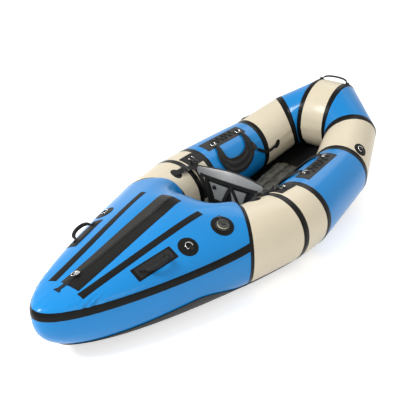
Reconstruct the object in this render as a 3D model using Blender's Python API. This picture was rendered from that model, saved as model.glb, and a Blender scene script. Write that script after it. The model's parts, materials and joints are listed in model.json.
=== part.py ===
"""Open packraft with a full stern deck, in metres.

+X points to the bow, +Y to port and +Z up. The origin is under the middle of the boat, on the
ground that its floor lies on. The hull is one inflated tube that closes round the cockpit: welded
panels meet at seam rings, and behind the cockpit the tube widens into a decked stern.
"""
import math

import bmesh
import bpy
from mathutils import Matrix, Vector
from mathutils.bvhtree import BVHTree

# Overall sizes
HALF_LENGTH = 1.168
HALF_BEAM = 0.4765

# Fabric and running gaps
PANEL_WALL = 0.003
FLOOR_WALL = 0.003
TAPE_WALL = 0.0012
SEAT_GAP = 0.0003
PANEL_EDGE_GAP = 0.00015
FLOOR_GAP = 0.0007
TAPE_STAND = SEAT_GAP + TAPE_WALL
TUBE_BASE = FLOOR_WALL + FLOOR_GAP + TAPE_STAND

# Seam rings from the stern to the bow: place, height over the floor, radius, heading and tilt
RING1_X = -0.235
RING1_Y = 0.261
RING1_LIFT = 0.0
RING1_R = 0.168
RING1_YAW = -41.5
RING2_X = -0.008
RING2_Y = 0.302
RING2_LIFT = 0.0
RING2_R = 0.163
RING2_YAW = -5.0
RING3_X = 0.152
RING3_LIFT = 0.0
RING3_R = 0.162
RING3_YAW = 3.5
RING4_X = 0.610
RING4_Y = 0.284
RING4_LIFT = 0.053
RING4_R = 0.144
RING4_YAW = 10.5
RING4_TILT = 5.0
RING5_X = 0.872
RING5_Y = 0.200
RING5_LIFT = 0.148
RING5_R = 0.140
RING5_YAW = 41.0
RING5_TILT = 19.5
RING6_Y = 0.082
RING6_LIFT = 0.152
RING6_R = 0.185
RING6_YAW = 90.0

# The belt meets the aft ring above its widest point
BELT_RISE_ANGLE = 28.0
BELT_RISE_POWER = 2.0

# Stern block between the two aft rings
STERN_TIP_Z = 0.242
STERN_TIP_HALF_HEIGHT = 0.062
STERN_TIP_BLUNT = 0.165
STERN_SIDE_LEAD = 0.04
STERN_KEEL_RISE = 0.02
STERN_TOP_POWER = 2.4
STERN_BOTTOM_POWER = 3.1
STERN_FADE_POWER = 0.55
STERN_DECK_POWER = 1.7
COAMING_X = -0.207
COAMING_HALF_HEIGHT = 0.31
COAMING_ROUND = 0.177
DECK_LENGTH = HALF_LENGTH + COAMING_X

# Counts
COLUMNS = 24
FAN_STEPS = 10
EVEN_SAMPLES = 120

QUARTER = COLUMNS // 4
HALF = COLUMNS // 2


def clear_scene():
    for old in list(bpy.data.objects):
        bpy.data.objects.remove(old, do_unlink=True)


def material(name, colour, roughness, metallic=0.0):
    made = bpy.data.materials.new(name)
    made.use_nodes = True
    shader = made.node_tree.nodes["Principled BSDF"]
    shader.inputs["Base Color"].default_value = (*colour, 1.0)
    shader.inputs["Roughness"].default_value = roughness
    shader.inputs["Metallic"].default_value = metallic
    return made


def add_object(name, mesh, look, parent=None):
    made = bpy.data.objects.new(name, mesh)
    bpy.context.scene.collection.objects.link(made)
    mesh.materials.clear()
    mesh.materials.append(look)
    if parent is not None:
        made.parent = parent
        made.location = -parent.location
    return made


def mesh_from(points, faces, name):
    """Build a closed mesh whose faces point out."""
    mesh = bpy.data.meshes.new(name)
    build = bmesh.new()
    used = {i for face in faces for i in face}
    verts = {i: build.verts.new(points[i]) for i in sorted(used)}
    for face in faces:
        build.faces.new([verts[i] for i in face])
    bmesh.ops.recalc_face_normals(build, faces=build.faces)
    build.to_mesh(mesh)
    build.free()
    return mesh


# A station is one section of the hull: its points and their outward normals, one for each column.
# Column 0 is the outboard side, a quarter of the way round is the top, then inboard, then the bottom.
class Station:
    def __init__(self, points, normals):
        self.points = points
        self.normals = normals

    def at(self, column):
        low = math.floor(column)
        share = column - low
        a, b = low % COLUMNS, (low + 1) % COLUMNS
        point = self.points[a].lerp(self.points[b], share)
        normal = self.normals[a].lerp(self.normals[b], share)
        return point, normal

    def spacing(self, column):
        return (self.points[(column + 1) % COLUMNS] - self.points[column % COLUMNS]).length

    def belt_share(self, column):
        return BELT_HALF_WIDTH / self.spacing(column)

    def round_columns(self):
        """All the way round, with a column under each edge of the stern belt."""
        edges = [self.belt_share(0)], [COLUMNS - self.belt_share(-1)]
        return [0] + edges[0] + list(range(1, COLUMNS)) + edges[1]

    def mirrored(self):
        flip = Vector((1.0, -1.0, 1.0))
        return Station([p * flip for p in self.points], [n * flip for n in self.normals])


def ring_axes(yaw, tilt=0.0):
    heading, lift = math.radians(yaw), math.radians(tilt)
    outward = Vector((math.sin(heading), -math.cos(heading), 0.0))
    forward = Vector((math.cos(heading), math.sin(heading), 0.0))
    upward = Vector((0.0, 0.0, math.cos(lift))) - forward * math.sin(lift)
    return outward, forward, upward


def quadrants(first):
    """Angles of the first column, the top, inboard, the bottom and the first column again."""
    return [first, math.pi / 2.0, math.pi, 3.0 * math.pi / 2.0, 2.0 * math.pi + first]


def ring_station(x, y, lift, radius, yaw, tilt=0.0, start=0.0):
    """Section of the starboard tube at a seam ring, its first column at the start angle."""
    outward, _, upward = ring_axes(yaw, tilt)
    centre = Vector((x, -y, TUBE_BASE + radius + lift))
    corners = quadrants(math.radians(start))
    turns = [a + (b - a) * k / QUARTER for a, b in zip(corners, corners[1:]) for k in range(QUARTER)]
    normals = [outward * math.cos(v) + upward * math.sin(v) for v in turns]
    return Station([centre + n * radius for n in normals], normals)


def bezier(p0, p1, p2, p3, t):
    s = 1.0 - t
    return p0 * s**3 + p1 * (3.0 * s * s * t) + p2 * (3.0 * s * t * t) + p3 * t**3


def even_points(curve, count):
    """Points at even steps of arc length along a dense curve, both ends kept."""
    lengths = [0.0]
    for a, b in zip(curve, curve[1:]):
        lengths.append(lengths[-1] + (b - a).length)
    made, k = [curve[0]], 0
    for step in range(1, count):
        goal = lengths[-1] * step / count
        while lengths[k + 1] < goal:
            k += 1
        share = (goal - lengths[k]) / (lengths[k + 1] - lengths[k])
        made.append(curve[k].lerp(curve[k + 1], share))
    return made + [curve[-1]]


def fan_station(t):
    """Section of the stern block, from the middle of the boat at 0 to the starboard aft ring at 1."""
    outward, forward, _ = ring_axes(RING1_YAW)
    centre = Vector((RING1_X, -RING1_Y, 0.0))
    outer_end, inner_end = centre + outward * RING1_R, centre - outward * RING1_R
    tip = Vector((TAPE_STAND - HALF_LENGTH, 0.0, 0.0))
    wall = Vector((COAMING_X, 0.0, 0.0))
    outer = bezier(tip, tip - Vector((0.0, STERN_TIP_BLUNT, 0.0)),
                   outer_end - forward * STERN_SIDE_LEAD, outer_end, t)
    inner = bezier(wall, wall - Vector((0.0, COAMING_ROUND, 0.0)), inner_end, inner_end, t)
    fade = (1.0 - t) ** STERN_FADE_POWER
    ring_height = TUBE_BASE + RING1_R + RING1_LIFT
    fall = 1.0 + (STERN_DECK_POWER - 1.0) * fade
    outer_z = STERN_TIP_Z * fade + ring_height * (1.0 - fade)

    def point(angle):
        rho = math.cos(angle)
        above = math.sin(angle) >= 0.0
        power = 2.0 + ((STERN_TOP_POWER if above else STERN_BOTTOM_POWER) - 2.0) * fade
        rise = max(0.0, 1.0 - abs(rho) ** power) ** (1.0 / power)
        share = (rho + 1.0) / 2.0
        middle = ring_height * (1.0 - share) + outer_z * share
        if above:
            crest = COAMING_HALF_HEIGHT - STERN_TIP_HALF_HEIGHT
            crown = STERN_TIP_HALF_HEIGHT + crest * (1.0 - share) ** fall
            z = middle + (crown * fade + RING1_R * (1.0 - fade)) * rise
        else:
            base = TUBE_BASE + RING1_LIFT * (1.0 - fade) + STERN_KEEL_RISE * fade * share * share
            z = middle - (middle - base) * rise
        flat = inner.lerp(outer, share)
        return Vector((flat.x, flat.y, z))

    corners = quadrants(math.radians(BELT_RISE_ANGLE) * t**BELT_RISE_POWER)
    steps = [k / EVEN_SAMPLES for k in range(EVEN_SAMPLES + 1)]
    points = []
    for a, b in zip(corners, corners[1:]):
        points += even_points([point(a + (b - a) * step) for step in steps], QUARTER)[:-1]
    across = (outer - inner).normalized()
    normals = []
    for k in range(COLUMNS):
        along = points[(k + 1) % COLUMNS] - points[k - 1]
        normals.append((across * along.z - Vector((0.0, 0.0, along.dot(across)))).normalized())
    return Station(points, normals)


def towards(a, b, distance):
    """The section a fixed distance from station a towards station b, measured at every column."""
    points, normals = [], []
    for k in range(COLUMNS):
        share = distance / (b.points[k] - a.points[k]).length
        points.append(a.points[k].lerp(b.points[k], share))
        normals.append(a.normals[k].lerp(b.normals[k], share))
    return Station(points, normals)


def skin(name, stations, columns, low, high, middle=0):
    """Closed sheet over stations and columns, between two offsets from the hull surface.

    columns is None for a sheet that goes all the way round, or a function that gives the columns of
    one station by its number. Sheets over the same stations share their diagonals, so they stay
    parallel; the rows before the middle one are on the port side, and mirror those after it.
    """
    closed = columns is None
    rows = []
    for number, station in enumerate(stations):
        wanted = station.round_columns() if closed else columns(number)
        rows.append([station.at(c) for c in wanted])
    width = len(rows[0])
    points = [p + n * high for row in rows for p, n in row] + [p + n * low for row in rows for p, n in row]
    under = len(rows) * width
    faces = []
    for r in range(len(rows) - 1):
        for c in range(width if closed else width - 1):
            a, b = r * width + c, r * width + (c + 1) % width
            over, beyond = a + width, b + width
            halves = [(a, b, beyond), (a, beyond, over)]
            if r < middle:
                halves = [(a, b, over), (b, beyond, over)]
            faces += halves + [tuple(under + i for i in reversed(half)) for half in halves]
    for r in (0, len(rows) - 1):
        for c in range(width if closed else width - 1):
            a, b = r * width + c, r * width + (c + 1) % width
            faces.append((a, under + a, under + b, b))
    if not closed:
        for r in range(len(rows) - 1):
            for c in (0, width - 1):
                a = r * width + c
                faces.append((a, a + width, under + a + width, under + a))
    return mesh_from(points, faces, name)


def flipped(mesh, name):
    """The port twin of a starboard mesh."""
    made = mesh.copy()
    made.name = name
    made.transform(Matrix.Diagonal((1.0, -1.0, 1.0, 1.0)))
    made.flip_normals()
    return made


def add_pair(name, mesh, look):
    """A starboard mesh and its port twin."""
    return (add_object(name + "_starboard", mesh, look),
            add_object(name + "_port", flipped(mesh, name + "_port"), look))


# Seam tapes and belt
TAPE_HALF_WIDTH = 0.018
BELT_HALF_WIDTH = 0.018
BELT_WALL_TRIM = 0.0001
WEDGE_TAPE_SHARE = 0.4


def seam_rings():
    return [
        ring_station(RING1_X, RING1_Y, RING1_LIFT, RING1_R, RING1_YAW, start=BELT_RISE_ANGLE),
        ring_station(RING2_X, RING2_Y, RING2_LIFT, RING2_R, RING2_YAW, start=BELT_RISE_ANGLE / 2.0),
        ring_station(RING3_X, HALF_BEAM - TAPE_STAND - RING3_R, RING3_LIFT, RING3_R, RING3_YAW),
        ring_station(RING4_X, RING4_Y, RING4_LIFT, RING4_R, RING4_YAW, RING4_TILT),
        ring_station(RING5_X, RING5_Y, RING5_LIFT, RING5_R, RING5_YAW, RING5_TILT),
        ring_station(HALF_LENGTH - TAPE_STAND - RING6_R, RING6_Y, RING6_LIFT, RING6_R, RING6_YAW),
    ]


def stern_fan(rings):
    """Stations of the whole stern block, from the port aft ring round to the starboard one."""
    half = [fan_station(k / FAN_STEPS) for k in range(FAN_STEPS)] + [rings[0]]
    half.insert(-1, tape_edge(rings[0], half[-2]))
    return [station.mirrored() for station in reversed(half[1:])] + half


def tape_edge(ring, other):
    """The station beside a ring where its tape ends, nearer where the panel is short."""
    points, normals = [], []
    for k in range(COLUMNS):
        length = (other.points[k] - ring.points[k]).length
        share = min(TAPE_HALF_WIDTH / length, WEDGE_TAPE_SHARE)
        points.append(ring.points[k].lerp(other.points[k], share))
        normals.append(ring.normals[k].lerp(other.normals[k], share))
    return Station(points, normals)


def between(a, b):
    """Stations of one straight panel, with a row under the edge of each tape."""
    return [a, tape_edge(a, b), tape_edge(b, a), b]


def clear_ends(stations):
    """The same stations, drawn back at both ends by the gap between two panels."""
    first = towards(stations[0], stations[1], PANEL_EDGE_GAP)
    last = towards(stations[-1], stations[-2], PANEL_EDGE_GAP)
    return [first] + stations[1:-1] + [last]


def deck_columns(fan):
    def columns(number):
        start = PANEL_EDGE_GAP / fan[number].spacing(0)
        return [start, fan[number].belt_share(0)] + list(range(1, HALF)) + [HALF - start]
    return columns


def lower_columns(fan):
    def columns(number):
        start = PANEL_EDGE_GAP / fan[number].spacing(-1)
        edge = COLUMNS - fan[number].belt_share(-1)
        return [HALF + start] + list(range(HALF + 1, COLUMNS)) + [edge, COLUMNS - start]
    return columns


def build_panels(rings, fan, looks):
    """Every welded panel of the tube, as open shells that hold the air between them."""
    blue, beige = looks["blue"], looks["beige"]
    closed_fan, middle = clear_ends(fan), len(fan) // 2
    deck = add_object("stern_deck",
                      skin("stern_deck", closed_fan, deck_columns(fan), -PANEL_WALL, 0.0, middle), blue)
    add_object("stern_lower_panel",
               skin("stern_lower_panel", closed_fan, lower_columns(fan), -PANEL_WALL, 0.0, middle), blue)
    names = ["aft_tube_panel", "hip_tube_panel", "side_tube_panel", "quarter_tube_panel",
             "bow_wedge_panel"]
    for name, look, a, b in zip(names, [beige, beige, blue, beige, blue], rings, rings[1:]):
        add_pair(name, skin(name, clear_ends(between(a, b)), None, -PANEL_WALL, 0.0), look)
    bow = clear_ends(between(rings[5], rings[5].mirrored()))
    add_object("bow_centre_panel", skin("bow_centre_panel", bow, None, -PANEL_WALL, 0.0), beige)
    return deck


def combine(target, other, operation):
    """Apply a Boolean of two closed objects to the first one, and remove the second."""
    step = target.modifiers.new("combine", "BOOLEAN")
    step.operation = operation
    step.solver = "EXACT"
    step.object = other
    bpy.context.view_layer.update()
    graph = bpy.context.evaluated_depsgraph_get()
    mesh = bpy.data.meshes.new_from_object(target.evaluated_get(graph))
    look = target.data.materials[0]
    target.modifiers.remove(step)
    target.data = mesh
    mesh.materials.clear()
    mesh.materials.append(look)
    bpy.data.objects.remove(other, do_unlink=True)
    return target


def tape_over(before, ring, after, high):
    """Tape round one seam ring, as wide as the panels beside it leave room for."""
    stations = [tape_edge(ring, before), ring, tape_edge(ring, after)]
    return skin("seam_tape", stations, None, SEAT_GAP, high)


def build_tapes(rings, fan, looks):
    look = looks["tape"]
    belt_columns = [[-s.belt_share(-1), 0, s.belt_share(0)] for s in fan]
    belt = add_object("stern_belt_tape",
                      skin("stern_belt_tape", fan, lambda number: belt_columns[number],
                           SEAT_GAP + BELT_WALL_TRIM, TAPE_STAND - BELT_WALL_TRIM, len(fan) // 2), look)
    aft = tape_over(fan[-3], rings[0], rings[1], TAPE_STAND)
    for mesh in (aft, flipped(aft, "seam_tape_aft")):
        combine(belt, add_object("seam_tape_aft", mesh, look), "UNION")
    for number in range(1, 6):
        after = rings[number + 1] if number < 5 else rings[5].mirrored()
        mesh = tape_over(rings[number - 1], rings[number], after, TAPE_STAND)
        pair = add_pair("seam_tape_" + str(number + 1), mesh, look)
    return pair


# Floor
FLOOR_STERN_COLUMNS = 4
FLOOR_SIDE_COLUMNS = 2
FLOOR_NARROW_ROWS = 11


def sheet(name, upper, lower, polygons):
    """Closed sheet between two layers of points that share their polygons."""
    edges = {}
    for polygon in polygons:
        for a, b in zip(polygon, polygon[1:] + polygon[:1]):
            edges[frozenset((a, b))] = edges.get(frozenset((a, b)), []) + [(a, b)]
    under = len(upper)
    faces = [tuple(p) for p in polygons] + [tuple(under + i for i in reversed(p)) for p in polygons]
    for uses in edges.values():
        if len(uses) == 1:
            a, b = uses[0]
            faces.append((b, a, under + a, under + b))
    return mesh_from(upper + lower, faces, name)


def build_floor(rings, fan, looks):
    """Flat floor under the cockpit, turned up along the underside of the tubes."""
    half = fan[FAN_STEPS + 1:]
    for a, b in zip(rings, rings[1:]):
        half += between(a, b)[1:]
    half.append(tape_edge(rings[5], rings[5].mirrored()))
    width = FLOOR_STERN_COLUMNS + 1
    reaches = [max(FLOOR_SIDE_COLUMNS, min(FLOOR_STERN_COLUMNS, FLOOR_NARROW_ROWS - number))
               for number in range(len(half))]
    flip = Vector((1.0, -1.0, 1.0))
    layers = []
    for depth in (TAPE_STAND + FLOOR_GAP, TAPE_STAND + FLOOR_GAP + FLOOR_WALL):
        spots = [station.at(3 * QUARTER + c) for station in half for c in range(width)]
        starboard = [p + n * depth for p, n in spots]
        layers.append(starboard + [p * flip for p in starboard])

    def starboard_index(row, column):
        return row * width + min(column, reaches[row])

    def port_index(row, column):
        return starboard_index(row, column) + (0 if row == 0 else len(half) * width)

    polygons = []
    last = len(half) - 1
    for r in range(last):
        for c in range(width - 1):
            for corners in ([(r, c), (r, c + 1), (r + 1, c + 1)], [(r, c), (r + 1, c + 1), (r + 1, c)]):
                polygons.append([starboard_index(*corner) for corner in corners])
                polygons.append([port_index(*corner) for corner in reversed(corners)])
        polygons.append([starboard_index(r, 0), starboard_index(r + 1, 0), port_index(r + 1, 0)])
        polygons.append([starboard_index(r, 0), port_index(r + 1, 0), port_index(r, 0)])
    for c in range(width - 1):
        polygons.append([starboard_index(last, c), starboard_index(last, c + 1), port_index(last, c + 1)])
        polygons.append([starboard_index(last, c), port_index(last, c + 1), port_index(last, c)])
    polygons = [polygon for polygon in polygons if len(set(polygon)) == len(polygon)]
    return add_object("floor", sheet("floor", layers[0], layers[1], polygons), looks["floor"])


# Patches glued to the hull, and the tools that fit pieces to its curved surface
PATCH_WALL = 0.0012
PATCH_TOP = SEAT_GAP + PATCH_WALL
CUT_DEPTH = 0.05
COVER_HEIGHT = 0.018
FACET_GAP = 0.0006
DISC_SIDES = 24
DECK_EDGE_COLUMNS = 2
TUBE_COVER_COLUMNS = (1, 15)
PROBE_REACH = 0.02
UP = Vector((0.0, 0.0, 1.0))
FLIP = Vector((1.0, -1.0, 1.0))


class Cover:
    """A stretch of the hull surface that pieces are cut to fit."""

    def __init__(self, stations, first, last, middle=0):
        self.stations = stations
        self.columns = list(range(first, last + 1))
        self.middle = middle
        flat = self.layer(-PANEL_WALL, 0.0)
        self.tree = BVHTree.FromPolygons([v.co.copy() for v in flat.vertices],
                                         [tuple(p.vertices) for p in flat.polygons])

    def layer(self, low, high):
        """Closed sheet between two heights over the hull."""
        return skin("layer", self.stations, lambda number: self.columns, low, high, self.middle)

    def fit(self, name, shape, low, high, look):
        """What a shape has between two heights over the hull."""
        made = add_object(name, self.layer(low, high), look)
        return combine(made, add_object("shape", shape, look), "INTERSECT")

    def patch(self, name, outline, frame, look):
        return self.fit(name, prism(outline, frame, -CUT_DEPTH, CUT_DEPTH), SEAT_GAP, PATCH_TOP, look)

    def add_block(self, target, outline, frame, height):
        """Join a block of a given height over the hull to a patch."""
        shape = prism(outline, frame, -CUT_DEPTH, height)
        block = self.fit("block", shape, PATCH_TOP - PATCH_WALL / 2.0, COVER_HEIGHT, target.data.materials[0])
        return combine(target, block, "UNION")

    def drop(self, x, y):
        """Frame on the hull under a point, its x axis to the bow and its z axis out of the hull."""
        spot = self.hit(Vector((x, y, HALF_LENGTH)), -UP)
        ahead = self.hit(Vector((x + PROBE_REACH, y, HALF_LENGTH)), -UP)
        aft = self.hit(Vector((x - PROBE_REACH, y, HALF_LENGTH)), -UP)
        port = self.hit(Vector((x, y + PROBE_REACH, HALF_LENGTH)), -UP)
        starboard = self.hit(Vector((x, y - PROBE_REACH, HALF_LENGTH)), -UP)
        return axes_frame(spot, ahead - aft, (ahead - aft).cross(port - starboard))

    def spot(self, share, turn_share):
        """Frame at shares of the way along a panel and round the tube, its x axis along the tube."""
        first, last = self.stations[0], self.stations[-1]
        column = turn_share * COLUMNS
        (p0, n0), (p1, n1) = first.at(column), last.at(column)
        point, normal = p0.lerp(p1, share), n0.lerp(n1, share).normalized()
        return axes_frame(self.hit(point + normal * CUT_DEPTH, -normal), p1 - p0, normal)

    def hit(self, origin, direction):
        return self.tree.ray_cast(origin, direction)[0]


def axes_frame(spot, along, normal):
    """Frame at a point from its z axis and the direction nearest to its x axis."""
    z = normal.normalized()
    y = z.cross(along).normalized()
    x = y.cross(z)
    made = Matrix((x, y, z)).transposed().to_4x4()
    made.translation = spot
    return made


def turned(frame, degrees):
    """The same frame, turned about its z axis."""
    return frame @ Matrix.Rotation(math.radians(degrees), 4, "Z")


def mirrored_frame(frame):
    """The port twin of a starboard joint frame: the same positive turn, seen in the mirror."""
    x, z = -(frame.col[0].to_3d() * FLIP), frame.col[2].to_3d() * FLIP
    made = Matrix((x, z.cross(x), z)).transposed().to_4x4()
    made.translation = frame.translation * FLIP
    return made


def hang_on(piece, frame):
    """Give a moving piece its joint's frame: the x axis is the axis of the joint."""
    piece.data.transform(frame.inverted())
    piece.matrix_world = frame
    return piece


def prism(outline, frame, low, high):
    """Outline raised between two heights in a frame."""
    count = len(outline)
    points = [Vector((x, y, z)) for z in (low, high) for x, y in outline]
    faces = [tuple(reversed(range(count))), tuple(range(count, 2 * count))]
    faces += [(k, (k + 1) % count, count + (k + 1) % count, count + k) for k in range(count)]
    mesh = mesh_from(points, faces, "prism")
    mesh.transform(frame)
    return mesh


def box(frame, x, y, z):
    return prism([(x[0], y[0]), (x[1], y[0]), (x[1], y[1]), (x[0], y[1])], frame, z[0], z[1])


def circle(radius, sides=DISC_SIDES):
    turns = [2.0 * math.pi * k / sides for k in range(sides)]
    return [(radius * math.cos(v), radius * math.sin(v)) for v in turns]


def rectangle(half_length, half_width):
    return [(-half_length, -half_width), (half_length, -half_width),
            (half_length, half_width), (-half_length, half_width)]


def sweep(name, spine, ups, section, closed=False):
    """Closed rod or band. section(k) is its outline at spine point k, as (across, over) pairs."""
    count = len(spine)
    points = []
    for k, spot in enumerate(spine):
        ahead = spine[(k + 1) % count] if closed or k < count - 1 else spot
        behind = spine[k - 1] if closed or k > 0 else spot
        along = (ahead - behind).normalized()
        across = along.cross(ups[k]).normalized()
        over = across.cross(along)
        outline = section(k)
        points += [spot + across * a + over * b for a, b in outline]
    width = len(points) // count
    faces = []
    for k in range(count if closed else count - 1):
        beyond = (k + 1) % count
        for c in range(width):
            d = (c + 1) % width
            faces.append((k * width + c, k * width + d, beyond * width + d, beyond * width + c))
    if not closed:
        faces.append(tuple(reversed(range(width))))
        faces.append(tuple((count - 1) * width + c for c in range(width)))
    return mesh_from(points, faces, name)


def oval(half_width, half_height, sides=8):
    turns = [2.0 * math.pi * (k + 0.5) / sides for k in range(sides)]
    grow = 1.0 / math.cos(math.pi / sides)
    return [(half_width * grow * math.cos(v), half_height * grow * math.sin(v)) for v in turns]


def join(target, mesh, operation="UNION"):
    return combine(target, add_object("shape", mesh, target.data.materials[0]), operation)


def twin(piece, name):
    """The port twin of a finished starboard piece that does not move."""
    piece.name = name + "_starboard"
    return add_object(name + "_port", flipped(piece.data, name + "_port"), piece.data.materials[0])


# Rings: a wire loop whose straight bar runs through a keeper, a short tunnel of sewn webbing
RING_WIRE_R = 0.0018
RING_HALF_WIDTH = 0.016
RING_DEPTH = 0.024
RING_ARC_STEPS = 7
BAR_GAP = 0.0005
KEEPER_WALL = 0.0014
KEEPER_HALF_LENGTH = 0.009
KEEPER_TAIL = 0.014
BAR_HEIGHT = PATCH_TOP + KEEPER_WALL / 2.0 + RING_WIRE_R + BAR_GAP


def ring_mesh(frame, wire, half_width, depth):
    """D-shaped ring in the plane of a frame, its bar on the x axis and its bow towards y."""
    turns = [math.pi * k / RING_ARC_STEPS for k in range(RING_ARC_STEPS + 1)]
    flat = [(half_width * math.cos(v), depth * math.sin(v)) for v in turns]
    spine = [frame @ Vector((x, y, 0.0)) for x, y in flat + [(0.0, 0.0)]]
    ups = [frame.col[2].to_3d()] * len(spine)
    return sweep("ring", spine, ups, lambda k: oval(wire, wire, 6), closed=True)


def add_keeper(cover, patch, frame, bar_height, bar_radius, half_length, tail):
    """Sewn tunnel on a patch for a bar on the x axis, its webbing tail away from the ring."""
    reach = bar_radius + BAR_GAP + KEEPER_WALL
    outline = [(-half_length, -tail), (half_length, -tail), (half_length, reach), (-half_length, reach)]
    cover.add_block(patch, outline, frame, bar_height + reach)
    spine = [frame @ Vector((x, 0.0, bar_height)) for x in (-2.0 * half_length, 2.0 * half_length)]
    hole = sweep("hole", spine, [frame.col[2].to_3d()] * 2,
                 lambda k: oval(bar_radius + BAR_GAP, bar_radius + BAR_GAP))
    return join(patch, hole, "DIFFERENCE")


def raised(frame, height):
    return frame @ Matrix.Translation((0.0, 0.0, height))


def fixed_ring(cover, patch, frame):
    """Keeper with a ring that is drawn tight in it."""
    reach = RING_WIRE_R + KEEPER_WALL
    cover.add_block(patch, [(-KEEPER_HALF_LENGTH, -KEEPER_TAIL), (KEEPER_HALF_LENGTH, -KEEPER_TAIL),
                            (KEEPER_HALF_LENGTH, reach), (-KEEPER_HALF_LENGTH, reach)],
                    frame, BAR_HEIGHT + reach)
    return join(patch, ring_mesh(raised(frame, BAR_HEIGHT), RING_WIRE_R, RING_HALF_WIDTH, RING_DEPTH))


# Cargo zip: patch, coil chain, slider and pull. The patch lies a little off the middle of the boat.
ZIP_FORE_X = -0.385
ZIP_FORE_Y = 0.008
ZIP_FORE_HALF = 0.048
ZIP_AFT_SHARE = 0.82726
ZIP_AFT_X = COAMING_X - DECK_LENGTH * ZIP_AFT_SHARE
ZIP_AFT_Y = -0.013
ZIP_AFT_HALF = 0.043
ZIP_TAB_LENGTH = 0.040
ZIP_TAB_OVERLAP = 0.012
ZIP_TAB_NECK_HALF = 0.006
ZIP_TAB_END_HALF = 0.012
ZIP_TAB_HEIGHT = 0.004
CHAIN_FORE_INSET = 0.045
CHAIN_AFT_INSET = 0.017
CHAIN_FORE_X = ZIP_FORE_X - CHAIN_FORE_INSET
CHAIN_AFT_X = ZIP_AFT_X + CHAIN_AFT_INSET
CHAIN_HALF_WIDTH = 0.006
CHAIN_WALL = 0.0025
CHAIN_PROBES = 24
SLIDER_REST_INSET = 0.040
SLIDER_REST_X = CHAIN_AFT_X + SLIDER_REST_INSET
SLIDER_HALF_LENGTH = 0.013
SLIDER_HALF_WIDTH = 0.0105
SLIDER_WALL = 0.003
SLIDER_FLANGE = 0.0022
BRIDGE_HALF_LENGTH = 0.006
BRIDGE_HALF_WIDTH = 0.0035
BRIDGE_TOP = 0.011
PULL_AXIS_HEIGHT = 0.007
PULL_WIRE_R = 0.0015
PULL_HALF_WIDTH = 0.009
PULL_LENGTH = 0.028
PULL_POINT = 0.008
PULL_DROOP = -6.0


def zip_frame(deck):
    """Frame on top of the chain at the slider: the chain is straight and clears the whole deck."""
    xs = [CHAIN_AFT_X + (CHAIN_FORE_X - CHAIN_AFT_X) * k / CHAIN_PROBES for k in range(CHAIN_PROBES + 1)]
    spots = [deck.hit(Vector((x, 0.0, HALF_LENGTH)), -UP) for x in xs]
    slope = max((spot.z - spots[0].z) / (spot.x - spots[0].x) for spot in spots[1:])
    lift = spots[0].z - slope * spots[0].x
    stand = (PATCH_TOP + SEAT_GAP + CHAIN_WALL) * math.hypot(1.0, slope)
    along = Vector((1.0, 0.0, slope))
    spot = Vector((SLIDER_REST_X, 0.0, slope * SLIDER_REST_X + lift + stand))
    return axes_frame(spot, along, along.cross(Vector((0.0, 1.0, 0.0))))


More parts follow.
